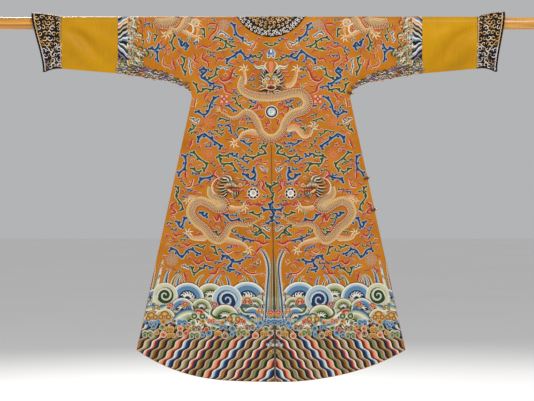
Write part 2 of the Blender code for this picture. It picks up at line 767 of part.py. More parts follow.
def main():
    clear_scene()
    robe = new_collection("dragon_robe")
    helpers = new_collection("cutters")
    silk = new_material("ground_silk", SILK)
    yellow = new_material("yellow_silk", YELLOW_SILK)
    dark = new_material("dark_silk", DARK_SILK)
    gilt = new_material("gilt", GILT)
    wood = new_material("wood", WOOD)

    rod(wood, robe)
    neck = outline_cutter("cut_neck", circle(NECK_RADIUS), helpers)
    for side, word in ((-1, "left"), (1, "right")):
        body_half(f"body_{word}", side, silk, robe, neck)
        sleeve_length(f"sleeve_{word}", side, yellow, robe)
        cuff(f"cuff_{word}", side, dark, robe)
        cuff_binding(f"cuff_binding_{word}", side, dark, robe)
    rim = outline_cutter("cut_neck_rim", circle(NECK_BAND_RADIUS + LAID_ON), helpers)
    overlap(silk, robe, rim, helpers)
    overlap_band(dark, robe, rim, helpers)
    neck_band(dark, robe, helpers)
    neck_piping(dark, robe)
    toggles({"dark": dark, "gilt": gilt}, robe)


main()
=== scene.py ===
"""Looks of a Chinese dragon robe hung on its display rod.

Each cloth solid of the frame is replaced by a finer piece of the same cut, hung by the same rule, and
the needlework is laid on the flat cloth as raised satin stitch before it is hung. The side shown, at -Y,
is the robe's back. Motifs are drawn in centimetres: out from the middle seam, and down from the shoulder
fold. The rest is in metres.
"""

import math
import random
from contextlib import contextmanager

import bmesh
import bpy
import numpy as np
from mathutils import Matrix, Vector


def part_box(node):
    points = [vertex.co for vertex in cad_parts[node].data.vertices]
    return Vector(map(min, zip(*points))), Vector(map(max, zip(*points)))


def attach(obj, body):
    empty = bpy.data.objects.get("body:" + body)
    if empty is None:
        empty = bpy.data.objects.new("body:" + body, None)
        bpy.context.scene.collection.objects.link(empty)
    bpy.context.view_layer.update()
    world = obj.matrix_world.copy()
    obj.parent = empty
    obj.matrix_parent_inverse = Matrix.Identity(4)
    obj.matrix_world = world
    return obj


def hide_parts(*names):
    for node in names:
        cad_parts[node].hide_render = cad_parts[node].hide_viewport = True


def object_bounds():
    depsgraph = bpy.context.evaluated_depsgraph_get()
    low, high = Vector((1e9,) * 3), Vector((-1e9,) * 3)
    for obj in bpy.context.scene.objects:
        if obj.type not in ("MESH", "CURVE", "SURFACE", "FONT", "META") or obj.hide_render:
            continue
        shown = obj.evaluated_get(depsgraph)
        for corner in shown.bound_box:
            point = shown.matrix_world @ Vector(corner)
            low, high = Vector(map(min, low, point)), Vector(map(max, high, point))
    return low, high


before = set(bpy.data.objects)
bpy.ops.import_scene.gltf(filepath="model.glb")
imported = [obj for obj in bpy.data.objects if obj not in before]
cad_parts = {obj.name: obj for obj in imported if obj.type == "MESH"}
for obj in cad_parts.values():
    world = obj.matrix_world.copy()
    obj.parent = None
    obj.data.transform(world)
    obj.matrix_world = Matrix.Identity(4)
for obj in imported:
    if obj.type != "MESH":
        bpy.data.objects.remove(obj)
cad_box = [list(corner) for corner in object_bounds()]
CM = 0.01
SIDES = {"left": -1, "right": 1}
FACES = {"back": -1, "front": 1}

# ---------------------------------------------------------------- the cut and the hang, as in the frame

ROD_LOW, ROD_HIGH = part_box("rod")
ROD_RADIUS = (ROD_HIGH.z - ROD_LOW.z) / 2
ROD_GAP = 0.0008  # between the rod and the cloth on it
CLOTH = 0.002
BAND = 0.001  # the dark bands' thickness
SEAM = 0.0003  # between pieces that meet edge to edge
LAID_ON = 0.0004  # between a piece and what it lies on

ROBE_LENGTH = 1.423  # from the shoulder fold to the middle of the hem
HEM_CORNER_DEPTH = 1.300
HEM_HALF_WIDTH = 0.524
HEM_ROUNDING = {-1: 3.0, 1: 2.2}  # by side: how late the hem turns up towards its corner
SEAM_DRIFT = 0.016  # of the middle seam to +X, at the hem
ARMPIT_HALF_WIDTH = 0.308
ARMPIT_DEPTH = 0.318
SLEEVE_SEAM_SHARE = 0.568  # of the way from the armpit to the cuff seam

# side: (cuff seam, cuff's top corner, cuff's bottom corner), as distances from the middle
SLEEVE_REACH = {-1: (0.815, 0.932, 0.889), 1: (0.802, 0.910, 0.882)}
CUFF_RISE = {-1: 0.015, 1: 0.019}  # by side: how far the cuff's top corner stands above the shoulder
CUFF_FOOT_DEPTH = 0.213
CUFF_FLARE = 0.30  # how much deeper the cuff's mouth is than its root
CUFF_BINDING = 0.007

# The underside of the sleeve: (share of the way from the armpit to the cuff seam, depth)
UNDERARM = (
    (0.000, ARMPIT_DEPTH), (0.004, 0.303), (0.013, 0.291), (0.030, 0.281), (0.057, 0.2735), (0.098, 0.2650),
    (0.160, 0.2555), (0.250, 0.2455), (0.400, 0.2330), (SLEEVE_SEAM_SHARE, 0.2215), (1.000, 0.203),
)

FOLD_RADIUS = ROD_RADIUS + ROD_GAP + CLOTH
QUARTER_TURN = FOLD_RADIUS * math.pi / 2
REST_HALF_DEPTH = 0.014  # of the robe, well below the rod
EDGE_HALF_DEPTH = 0.0022  # and at its closed edges
SETTLE = 0.17  # how far down the rod still holds the cloth apart
LENS = 0.12  # how far in from a closed edge the cloth is still pinched

# Soft folds of the skirt: (share of the half width, depth where it starts, height, half width as a share)
FOLDS = (
    (-0.84, 0.62, 0.006, 0.13), (-0.50, 0.46, -0.006, 0.16), (-0.18, 0.66, 0.007, 0.14),
    (0.17, 0.52, -0.006, 0.15), (0.47, 0.60, 0.007, 0.15), (0.79, 0.44, -0.006, 0.14),
)

SLIT_TOP_DEPTH = 1.020
SLIT_HALF_GAP = 0.0003  # at the hem
NECK_CENTRE = 0.051  # in front of the shoulder fold, on the flat cloth
NECK_RADIUS = 0.057
NECK_BAND_RADIUS = 0.148
NECK_PIPING_RADIUS = 0.0018
NECK_PIPING_INSET = 0.003
BAND_SLIT = 0.0012  # between the neck band's ends
BAND_SLIT_ANGLE = math.radians(42)
UNDERLAP_SET_BACK = 0.030
UNDERLAP_FROM, UNDERLAP_TO = 0.160, 0.215
OVERLAP_BAND_WIDTH = 0.044
OVERLAP_BAND_INSET = 0.0006

# The overlap's upper edge: (out from the middle, down the flat cloth)
OVERLAP_EDGE = (
    (-0.0200, 0.1500), (0.0500, 0.1520), (0.1050, 0.1555), (0.1500, 0.1630), (0.1880, 0.1800),
    (0.2230, 0.2090), (0.2560, 0.2480), (0.2860, 0.2920), (0.3200, 0.3360), (0.3600, 0.3850),
)

# Main creases, as soft ridges and troughs: (face, from x, from depth, to x, to depth, height, half width)
CREASES = (
    (-1, -0.800, 0.020, -0.715, 0.110, -0.0068, 0.020),
    (-1, -0.770, 0.040, -0.645, 0.185, -0.0125, 0.021),
    (-1, -0.805, 0.085, -0.690, 0.200, 0.0105, 0.024),
    (-1, -0.730, 0.030, -0.615, 0.120, 0.0059, 0.026),
    (-1, 0.790, 0.025, 0.720, 0.095, -0.0068, 0.024),
    (-1, 0.755, 0.050, 0.640, 0.190, -0.0120, 0.023),
    (-1, 0.800, 0.085, 0.700, 0.200, 0.0100, 0.026),
    (-1, 0.700, 0.030, 0.615, 0.130, 0.0051, 0.022),
    (-1, -0.560, 0.050, -0.360, 0.215, 0.0035, 0.026),
    (-1, -0.480, 0.040, -0.330, 0.160, -0.0035, 0.022),
    (-1, 0.550, 0.060, 0.350, 0.220, 0.0035, 0.024),
    (-1, 0.470, 0.045, 0.320, 0.175, -0.0035, 0.023),
    (-1, -0.290, 0.290, -0.130, 0.150, 0.0030, 0.028),
    (-1, 0.285, 0.300, 0.140, 0.170, 0.0030, 0.026),
    (-1, -0.120, 0.420, -0.160, 0.900, 0.0035, 0.034),
    (-1, 0.110, 0.360, 0.130, 0.820, -0.0030, 0.032),
    (-1, 0.265, 0.520, 0.330, 0.960, 0.0035, 0.034),
    (-1, -0.275, 0.480, -0.345, 0.900, -0.0030, 0.032),
    (1, -0.790, 0.030, -0.700, 0.120, 0.0068, 0.022),
    (1, -0.750, 0.060, -0.630, 0.190, -0.0068, 0.024),
    (1, 0.800, 0.030, 0.680, 0.180, 0.0068, 0.024),
    (1, 0.740, 0.030, 0.620, 0.150, -0.0059, 0.022),
    (1, -0.540, 0.060, -0.350, 0.210, -0.0035, 0.024),
    (1, 0.560, 0.050, 0.370, 0.205, 0.0030, 0.024),
    (1, -0.280, 0.300, -0.150, 0.190, 0.0030, 0.026),
    (1, -0.130, 0.400, -0.150, 0.860, -0.0030, 0.034),
    (1, 0.120, 0.460, 0.160, 0.950, 0.0030, 0.032),
    (1, 0.290, 0.500, 0.340, 0.880, -0.0030, 0.032),
)
CREASE_END = 0.35  # a crease's height at its ends, as a share
CREASE_ROOM = 0.011  # the half depth of the robe from which creases are whole
CREASES_BEGIN, CREASES_WHOLE = 0.035, 0.075  # depths


def smooth(value, low, high):
    """0 up to low, 1 from high, and a soft step between."""
    t = np.clip((value - low) / (high - low), 0.0, 1.0)
    return t * t * (3 - 2 * t)


def flat_from_depth(depth):
    """Cloth from the top of the fold down to this depth below it."""
    turned = FOLD_RADIUS * np.arccos(1 - np.clip(depth, 0, FOLD_RADIUS) / FOLD_RADIUS)
    return np.where(depth < FOLD_RADIUS, turned, QUARTER_TURN + depth - FOLD_RADIUS)


def depth_from_flat(s):
    s = np.abs(s)
    turned = FOLD_RADIUS * (1 - np.cos(np.minimum(s, QUARTER_TURN) / FOLD_RADIUS))
    return np.where(s < QUARTER_TURN, turned, FOLD_RADIUS + s - QUARTER_TURN)


def sleeve_x(side, share):
    return ARMPIT_HALF_WIDTH + share * (SLEEVE_REACH[side][0] - ARMPIT_HALF_WIDTH)


def side_x(depth):
    """The robe's half width at this depth, below the armpit."""
    down = (depth - ARMPIT_DEPTH) / (HEM_CORNER_DEPTH - ARMPIT_DEPTH)
    return ARMPIT_HALF_WIDTH + (HEM_HALF_WIDTH - ARMPIT_HALF_WIDTH) * np.clip(down, 0, 1)


def hem_depth(side, share):
    return ROBE_LENGTH - (ROBE_LENGTH - HEM_CORNER_DEPTH) * share ** HEM_ROUNDING[side]


def seam_drift(depth):
    """How far the middle seam hangs to +X."""
    return SEAM_DRIFT * smooth(depth, ARMPIT_DEPTH, ROBE_LENGTH)


def closed_edge(side):
    """The seam under the sleeve and down the side, as (x, depth) points."""
    line = [(SLEEVE_REACH[side][2], CUFF_FOOT_DEPTH)]
    line += [(sleeve_x(side, share), depth) for share, depth in reversed(UNDERARM)]
    return line + [(HEM_HALF_WIDTH, HEM_CORNER_DEPTH), (HEM_HALF_WIDTH + 0.05, ROBE_LENGTH + 0.1)]


CLOSED_EDGES = {side: closed_edge(side) for side in (-1, 1)}


def from_line(line, x, depth):
    """How far points are from a line of (x, depth) points."""
    nearest = np.full(np.shape(x), np.inf)
    for (ax, ad), (bx, bd) in zip(line, line[1:]):
        dx, dd = bx - ax, bd - ad
        t = np.clip(((x - ax) * dx + (depth - ad) * dd) / (dx * dx + dd * dd), 0, 1)
        nearest = np.minimum(nearest, np.hypot(x - ax - t * dx, depth - ad - t * dd))
    return nearest


def from_closed_edge(x, depth):
    left, right = (from_line(CLOSED_EDGES[side], np.abs(x), depth) for side in (-1, 1))
    return np.where(x < 0, left, right)


def soft_folds(x, depth):
    """How far the skirt's soft folds move both walls along Y."""
    share = x / side_x(depth)
    total = np.zeros(np.shape(x))
    for place, start, height, width in FOLDS:
        total += height * smooth(depth, start, ROBE_LENGTH) * np.exp(-(((share - place) / width) ** 2))
    return total


def creases(face, x, depth):
    """How far the creases lift the cloth outward."""
    total = np.zeros(np.shape(x))
    for on_face, ax, ad, bx, bd, height, width in CREASES:
        dx, dd = bx - ax, bd - ad
        t = np.clip(((x - ax) * dx + (depth - ad) * dd) / (dx * dx + dd * dd), 0, 1)
        off = np.hypot(x - ax - t * dx, depth - ad - t * dd)
        along = CREASE_END + (1 - CREASE_END) * np.sin(math.pi * t)
        total += np.where(face == on_face, height * along * np.exp(-((off / width) ** 2)), 0)
    return total


def cuff_share(x):
    """0 at the cuff seam, 1 at the cuff's top corner."""
    seam = np.where(x < 0, SLEEVE_REACH[-1][0], SLEEVE_REACH[1][0])
    tip = np.where(x < 0, SLEEVE_REACH[-1][1], SLEEVE_REACH[1][1])
    return np.clip((np.abs(x) - seam) / (tip - seam), 0, 1)


def half_depth(x, depth):
    """From the robe's middle plane to the outer face of the cloth, below the rod's axis."""
    fallen = np.exp(-(((depth - FOLD_RADIUS) / SETTLE) ** 2))
    hanging = REST_HALF_DEPTH + (FOLD_RADIUS - REST_HALF_DEPTH) * fallen
    inward = np.minimum(from_closed_edge(x, depth) / LENS, 1.0)
    return EDGE_HALF_DEPTH + (hanging - EDGE_HALF_DEPTH) * (1 - (1 - inward) ** 2)


def hang(x, s, height):
    """Where points of the flat cloth are when it hangs. Height is along the cloth's outward side."""
    x, s, height = np.broadcast_arrays(np.asarray(x, float), np.asarray(s, float), np.asarray(height, float))
    face = np.where(s < 0, -1, 1)
    depth = depth_from_flat(s)
    out = cuff_share(x)
    rise = np.where(x < 0, CUFF_RISE[-1], CUFF_RISE[1]) * (1 - (1 - out) ** 2)
    apart = half_depth(x, depth)
    free = smooth(apart, EDGE_HALF_DEPTH, CREASE_ROOM) * smooth(depth, CREASES_BEGIN, CREASES_WHOLE)
    wall_y = face * (apart + height + creases(face, x, depth) * free) + soft_folds(x, depth)
    turn = np.clip(s, -QUARTER_TURN, QUARTER_TURN) / FOLD_RADIUS
    on_rod = np.abs(s) < QUARTER_TURN
    y = np.where(on_rod, (FOLD_RADIUS + height) * np.sin(turn), wall_y)
    z = np.where(on_rod, (FOLD_RADIUS + height) * np.cos(turn), FOLD_RADIUS - depth)
    return np.stack([x, y * (1 + CUFF_FLARE * out), z + rise], axis=-1)


# ---------------------------------------------------------------- rows and columns of the cloth

FOLD_STEPS = 14
CHEST_STEPS = 26
SKIRT_STEPS = 100
BODY_STEPS = 46
SLEEVE_STEPS = 22
CUFF_STEPS = 12
BINDING_STEPS = 3
SLEEVE_START = 0.07  # the share from which the sleeve's columns are evenly spread
LEAST_COLUMN = 0.003  # as a share


def upper_rows(bottom_depth):
    rows = [QUARTER_TURN * step / FOLD_STEPS for step in range(FOLD_STEPS + 1)]
    below = float(flat_from_depth(bottom_depth)) - QUARTER_TURN
    return rows + [QUARTER_TURN + below * (step + 1) / CHEST_STEPS for step in range(CHEST_STEPS)]


def both_faces(rows):
    return [-s for s in reversed(rows[1:])] + list(rows)


def seam_only(_side, s):
    """The middle edge of a piece that meets the other at the seam and opens at the slit, on either side."""
    return SEAM / 2 + SLIT_HALF_GAP * float(smooth(depth_from_flat(s), SLIT_TOP_DEPTH, ROBE_LENGTH))


def middle_x(side, s):
    """The same, but the right front's edge is set back under the overlap."""
    back = UNDERLAP_SET_BACK * float(smooth(s, UNDERLAP_FROM, UNDERLAP_TO)) if side > 0 and s > 0 else 0.0
    return seam_only(side, s) + back


def body_point(side, share, s, inner=middle_x):
    depth = depth_from_flat(s)
    start = side * float(seam_drift(depth)) + inner(side, s)
    return side * (start + share * (float(side_x(depth)) - start)), s


def body_column(side, share, inner=middle_x):
    hem = float(flat_from_depth(hem_depth(side, share)))
    armpit = float(flat_from_depth(ARMPIT_DEPTH))
    skirt = [armpit + (hem - armpit) * (step + 1) / SKIRT_STEPS for step in range(SKIRT_STEPS)]
    return [body_point(side, share, s, inner) for s in both_faces(upper_rows(ARMPIT_DEPTH) + skirt)]


def underarm_depth(share):
    return float(np.interp(share, *zip(*UNDERARM)))


def sleeve_column(side, share):
    x = side * sleeve_x(side, share)
    return [(x, s) for s in both_faces(upper_rows(underarm_depth(share)))]


def in_order(side, columns):
    """Columns run from -X to +X, so that the cloth's outer face is up when it lies flat."""
    return columns if side > 0 else columns[::-1]


def body_columns(side, inner=middle_x):
    return [body_column(side, step / BODY_STEPS, inner) for step in range(BODY_STEPS + 1)]


def half_columns(side):
    """Columns of a body half with its upper sleeve."""
    seam_share = SLEEVE_SEAM_SHARE - SEAM / (SLEEVE_REACH[side][0] - ARMPIT_HALF_WIDTH) / 2
    shares = {row[0] for row in UNDERARM if 0 < row[0] < SLEEVE_SEAM_SHARE}
    even = seam_share - SLEEVE_START
    shares |= {SLEEVE_START + even * step / SLEEVE_STEPS for step in range(SLEEVE_STEPS + 1)}
    shares = sorted(shares)
    kept = [a for a, b in zip(shares, shares[1:]) if b - a > LEAST_COLUMN] + [seam_share]
    return in_order(side, body_columns(side) + [sleeve_column(side, share) for share in kept])


def cuff_bottom(side, share):
    """Depth of the cuff's underside, a share of the way from its seam to its mouth."""
    root = UNDERARM[-1][1]
    return root + (CUFF_FOOT_DEPTH + CUFF_RISE[side] * share - root) * share


def cuff_mouth(side, down):
    """How far out the cuff's S-shaped mouth is. down is 0 at the fold and 1 at the underside."""
    tip, foot = SLEEVE_REACH[side][1:]
    return tip + (foot - tip) * float(smooth(down, 0, 1))


def cuff_column(side, share, inset):
    """A column of the cuff, whose mouth is inset to leave room for the binding."""
    seam = SLEEVE_REACH[side][0]
    bottom = cuff_bottom(side, share)
    column = []
    for s in both_faces(upper_rows(bottom)):
        mouth = cuff_mouth(side, abs(s) / float(flat_from_depth(bottom))) - inset
        column.append((side * (seam + SEAM / 2 + share * (mouth - seam - SEAM / 2)), s))
    return column


def rounded(points, steps=3):
    """A smooth line through these points."""
    points = np.asarray(points, float)
    padded = np.vstack([points[:1], points, points[-1:]])
    line = []
    for before, start, end, after in zip(padded, padded[1:], padded[2:], padded[3:]):
        t = (np.arange(steps) / steps)[:, None]
        line.append(
            start
            + (end - before) * (t / 2)
            + (2 * before - 5 * start + 4 * end - after) * (t * t / 2)
            + (3 * start - before - 3 * end + after) * (t**3 / 2)
        )
    return np.vstack([*line, points[-1:]])


def normals(line):
    """Unit normals of a flat line, to its right as it runs when down is up the page."""
    along = np.gradient(line, axis=0)
    along /= np.maximum(np.linalg.norm(along, axis=1, keepdims=True), 1e-9)
    return np.stack([-along[:, 1], along[:, 0]], axis=1)


def run_length(line):
    """How far along a line each of its points is."""
    return np.concatenate([[0], np.cumsum(np.linalg.norm(np.diff(line, axis=0), axis=1))])


def at_marks(marks, length, values):
    """Pairs of values along a line, read at these lengths."""
    return np.stack([np.interp(marks, length, values[:, axis]) for axis in (0, 1)], axis=-1)


def spread(values, count):
    """A few values, spread evenly over this many."""
    return np.interp(np.linspace(0, 1, count), np.linspace(0, 1, len(values)), values)


def around(count):
    """Unit vectors, evenly round a circle."""
    turns = np.linspace(0, 2 * math.pi, count, endpoint=False)
    return np.stack([np.cos(turns), np.sin(turns)], axis=1)


def heading(degrees):
    """The unit vector this way on the flat cloth: 0 is outward and 90 is up."""
    angle = math.radians(degrees)
    return np.array([math.cos(angle), -math.sin(angle)])


OVERLAP_LINE = rounded(OVERLAP_EDGE)


def below_overlap_edge(x, s):
    """How far below the overlap's upper edge points are, measured down the cloth."""
    return s - np.interp(x, OVERLAP_LINE[:, 0], OVERLAP_LINE[:, 1])


def overlap_lift(x, s):
    """The overlap starts level with the left front and steps up onto the underlap."""
    depth = depth_from_flat(s)
    first = seam_drift(depth)
    back = UNDERLAP_SET_BACK * smooth(s, UNDERLAP_FROM, UNDERLAP_TO)
    reach = np.maximum(back * (1 - first / side_x(depth)), 1e-5)
    return (LAID_ON + CLOTH) * np.clip((x - first) / reach, 0, 1)


def skin(x, s):
    """How far the uppermost cloth's outer face is from the body's."""
    from_neck = np.hypot(x, s - NECK_CENTRE)
    lift = np.where(from_neck < NECK_BAND_RADIUS, LAID_ON + BAND, 0.0)
    on_overlap = (from_neck > NECK_BAND_RADIUS) & (s > QUARTER_TURN) & (below_overlap_edge(x, s) > 0)
    on_overlap &= x > seam_drift(depth_from_flat(s))
    lift = np.where(on_overlap, overlap_lift(x, s), lift)
    band = (from_line(OVERLAP_LINE, x, s) < OVERLAP_BAND_WIDTH) & on_overlap
    return np.where(band, lift + LAID_ON + BAND, lift)


# ---------------------------------------------------------------- materials

CUT_MAP = "cut"  # flat cloth in metres, across and down
STITCH_MAP = "stitch"  # along and across a motif, in metres
WEAVE_PERIOD = 0.0009
STITCH_PERIOD = 0.0007
PLY_PERIOD = 0.0009


class Nodes:
    """A material's nodes, added and joined in one call each."""

    def __init__(self, name):
        self.material = bpy.data.materials.new(name)
        self.material.use_nodes = True
        self.tree = self.material.node_tree

    def give(self, node, inputs):
        """Sets a node's inputs, or joins them to the sockets given."""
        for key, value in inputs.items():
            if isinstance(value, bpy.types.NodeSocket):
                self.tree.links.new(value, node.inputs[key])
            else:
                node.inputs[key].default_value = value

    def add(self, kind, inputs=None, **settings):
        node = self.tree.nodes.new("ShaderNode" + kind)
        for key, value in settings.items():
            setattr(node, key, value)
        self.give(node, inputs or {})
        return node

    def flat_map(self, name):
        return self.add("UVMap", uv_map=name).outputs["UV"]

    def own_space(self):
        return self.add("TexCoord").outputs["Object"]

    def mapped(self, place, change, values):
        return self.add("Mapping", {"Vector": place, change: values}).outputs["Vector"]

    def noise(self, vector, scale, detail=2.0):
        node = self.add("TexNoise", {"Vector": vector, "Scale": scale, "Detail": detail})
        return node.outputs["Fac"]

    def waves(self, vector, period, direction, distortion=0.0):
        settings = {"wave_type": "BANDS", "bands_direction": direction}
        inputs = {"Vector": vector, "Scale": math.pi / 10 / period, "Distortion": distortion}
        return self.add("TexWave", inputs, **settings).outputs["Fac"]

    def between(self, low, high, share, from_low=0.3, from_high=0.7):
        """One colour up to from_low, the other from from_high, and a blend between."""
        blend = self.add("MapRange", {"Value": share, "From Min": from_low, "From Max": from_high})
        inputs = {"Factor": blend.outputs["Result"], 6: (*low, 1), 7: (*high, 1)}
        return self.add("Mix", inputs, data_type="RGBA").outputs[2]

    def multiply(self, colour, share, low, high):
        """Darkens or brightens a colour as share goes from 0 to 1."""
        factor = self.add("MapRange", {"Value": share, "To Min": low, "To Max": high})
        inputs = {"Factor": 1.0, 6: colour, 7: factor.outputs["Result"]}
        return self.add("Mix", inputs, data_type="RGBA", blend_type="MULTIPLY").outputs[2]

    def bump(self, height, strength, distance):
        node = self.add("Bump", {"Height": height, "Strength": strength, "Distance": distance})
        return node.outputs["Normal"]

    def surface(self, looks):
        """The material, with these inputs of its shader."""
        self.give(self.tree.nodes["Principled BSDF"], looks)
        return self.material


def silk(name, low, high, roughness, sheen, mottle=9.0):
    """Woven silk: a mottled dye, with warp and weft raised in turn."""
    nodes = Nodes(name)
    place = nodes.flat_map(CUT_MAP)
    dye = nodes.between(low, high, nodes.noise(place, mottle, 4.0))
    streaks = nodes.noise(nodes.mapped(place, "Scale", (260, 9, 1)), 1.0)
    warp, weft = (nodes.waves(place, WEAVE_PERIOD, direction) for direction in "XY")
    weave = nodes.add("Math", {0: warp, 1: weft}, operation="MAXIMUM").outputs["Value"]
    return nodes.surface({
        "Base Color": nodes.multiply(dye, streaks, 0.88, 1.12),
        "Roughness": roughness,
        "Sheen Weight": sheen,
        "Sheen Roughness": 0.4,
        "Sheen Tint": (*high, 1),
        "Specular IOR Level": 0.12,
        "Normal": nodes.bump(weave, 0.25, 0.0003),
    })


def thread(name, colour):
    """Satin stitch in one colour of floss: strands run across the motif."""
    nodes = Nodes("floss_" + name)
    place = nodes.flat_map(STITCH_MAP)
    strands = nodes.noise(nodes.mapped(place, "Scale", (900, 60, 1)), 1.0)
    return nodes.surface({
        "Base Color": nodes.multiply((*colour, 1), strands, 0.80, 1.18),
        "Roughness": 0.5,
        "Sheen Weight": 0.1,
        "Sheen Tint": (*colour, 1),
        "Specular IOR Level": 0.15,
        "Normal": nodes.bump(nodes.waves(place, STITCH_PERIOD, "X", 0.6), 0.3, 0.0002),
    })


def pole_wood():
    """Varnished pine: long grain along the pole."""
    nodes = Nodes("pole_wood")
    place = nodes.own_space()
    grain = nodes.noise(nodes.mapped(place, "Scale", (1.2, 34, 34)), 3.0, 6.0)
    fine = nodes.noise(nodes.mapped(place, "Scale", (9, 400, 400)), 1.0)
    colour = nodes.between((0.42, 0.16, 0.012), (0.80, 0.39, 0.055), grain, 0.35, 0.65)
    return nodes.surface({
        "Base Color": nodes.multiply(colour, fine, 0.88, 1.1),
        "Roughness": 0.33,
        "Coat Weight": 0.35,
        "Coat Roughness": 0.18,
        "Normal": nodes.bump(grain, 0.12, 0.0004),
    })


def gilt():
    """Cast and gilded brass, a little worn."""
    nodes = Nodes("gilt_brass")
    place = nodes.own_space()
    return nodes.surface({
        "Base Color": nodes.between((0.45, 0.26, 0.07), (0.86, 0.62, 0.26), nodes.noise(place, 420.0, 4.0)),
        "Metallic": 1.0,
        "Roughness": 0.32,
        "Normal": nodes.bump(nodes.noise(place, 900.0), 0.15, 0.0002),
    })


def cord_silk():
    """Plied dark cord: its plies wind round it. Its colour is painted darker in the grooves between plies and
    lighter on their ridges: painted shade.
    """
    nodes = Nodes("cord_silk")
    turned = nodes.mapped(nodes.own_space(), "Rotation", (0, 0.6, 0.7))
    plies = nodes.waves(turned, PLY_PERIOD, "X")
    return nodes.surface({
        # painted shade: the ply waves that raise the bump also darken the grooves
        "Base Color": nodes.between((0.012, 0.006, 0.008), (0.05, 0.022, 0.018), plies),
        "Roughness": 0.6,
        "Sheen Weight": 0.25,
        "Normal": nodes.bump(plies, 0.5, 0.0003),
    })


GROUND = silk("ground_silk", (0.40, 0.122, 0.004), (0.53, 0.190, 0.012), 0.52, 0.12)
YELLOW = silk("yellow_silk", (0.44, 0.205, 0.002), (0.57, 0.285, 0.004), 0.42, 0.15, mottle=5.0)
DARK = silk("dark_silk", (0.006, 0.004, 0.004), (0.016, 0.010, 0.010), 0.5, 0.2)
CREAM_SILK = silk("cream_silk", (0.48, 0.36, 0.22), (0.60, 0.47, 0.30), 0.5, 0.2)

# ---------------------------------------------------------------- cloth

WELD = 2e-6  # vertices this close are one
SHARP_EDGE = math.radians(50)
CUTTER_REACH = 0.05  # above and below the flat cloth
CUTTER_SIDES = 96
NECK_TURNS, NECK_RINGS = 129, 14
OVERLAP_SPAN = (-0.05, 0.5)  # past both ends of the overlap's upper edge


def add_object(name, data, material=None):
    thing = bpy.data.objects.new(name, data)
    bpy.context.scene.collection.objects.link(thing)
    if material:
        data.materials.append(material)
    return thing


def new_mesh(name, points, faces):
    mesh = bpy.data.meshes.new(name)
    mesh.from_pydata(points, [], faces)
    return mesh


def as_evaluated(thing):
    """The mesh that an object's curve or modifiers make."""
    bpy.context.view_layer.update()
    return bpy.data.meshes.new_from_object(thing.evaluated_get(bpy.context.evaluated_depsgraph_get()))


def cloth_mesh(name, columns):
    """Faces between neighbouring columns of (x, s) points, from -X to +X. A shorter column meets the
    middle of a longer one, as a sleeve meets the body."""
    points, index = [], []
    for column in columns:
        index.append(range(len(points), len(points) + len(column)))
        points += [(x, s, 0.0) for x, s in column]
    faces = []
    for left, right in zip(index, index[1:]):
        rows = min(len(left), len(right))
        left = left[(len(left) - rows) // 2 :]
        right = right[(len(right) - rows) // 2 :]
        faces += [(left[r], right[r], right[r + 1], left[r + 1]) for r in range(rows - 1)]
    return new_mesh(name, points, faces)


def reworked(mesh, *steps):
    """The mesh after these steps on its bmesh."""
    work = bmesh.new()
    work.from_mesh(mesh)
    for step in steps:
        step(work)
    work.to_mesh(mesh)
    work.free()
    return mesh


def weld(work):
    bmesh.ops.remove_doubles(work, verts=work.verts, dist=WELD)


def split_large_faces(work):
    bmesh.ops.triangulate(work, faces=[face for face in work.faces if len(face.verts) > 4])


def face_outward(work):
    bmesh.ops.recalc_face_normals(work, faces=work.faces)


def prism(name, outline):
    """A cutter through the flat cloth, from a closed outline of (x, s) points."""
    count = len(outline)
    points = [(x, s, z) for z in (-CUTTER_REACH, CUTTER_REACH) for x, s in outline]
    faces = [tuple(reversed(range(count))), tuple(range(count, 2 * count))]
    faces += [(i, (i + 1) % count, count + (i + 1) % count, count + i) for i in range(count)]
    return add_object(name, reworked(new_mesh(name, points, faces), face_outward))


def neck_ring(radius, turns):
    """Points round the middle of the neck, on the flat cloth."""
    return [(radius * math.cos(turn), NECK_CENTRE + radius * math.sin(turn)) for turn in turns]


def flat_coordinates(mesh):
    co = np.empty(len(mesh.vertices) * 3)
    mesh.vertices.foreach_get("co", co)
    return co.reshape(-1, 3)


def write_map(mesh, name, flat):
    """A map of the flat cloth, so that weave and dye follow the cut."""
    corners = np.empty(len(mesh.loops), int)
    mesh.loops.foreach_get("vertex_index", corners)
    layer = mesh.uv_layers.new(name=name)
    layer.data.foreach_set("uv", np.ascontiguousarray(flat[corners, :2]).ravel())


def cloth_piece(name, columns, thickness, material, cuts=(), raised=None):
    """Cut flat, given its thickness, trimmed by (operation, cutter) pairs, and hung on the rod."""
    piece = add_object(name, reworked(cloth_mesh(name, columns), weld), material)
    solid = piece.modifiers.new("thickness", "SOLIDIFY")
    solid.thickness = thickness
    solid.offset = -1
    for operation, cutter in cuts:
        trim = piece.modifiers.new(cutter.name, "BOOLEAN")
        trim.operation = operation
        trim.object = cutter
    mesh = as_evaluated(piece)
    piece.modifiers.clear()
    mesh = reworked(mesh, weld, split_large_faces)
    piece["cut_area"] = sum(face.area for face in mesh.polygons if face.normal.z > 0.5)
    flat = flat_coordinates(mesh)
    write_map(mesh, CUT_MAP, flat)
    lift = raised(flat[:, 0], flat[:, 1]) if raised else 0.0
    mesh.vertices.foreach_set("co", hang(flat[:, 0], flat[:, 1], flat[:, 2] + lift).ravel())
    piece.data = mesh
    mesh.shade_smooth()
    mesh.set_sharp_from_angle(angle=SHARP_EDGE)
    return piece


def stand_in(piece, node):
    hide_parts(node)
    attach(piece, "root")


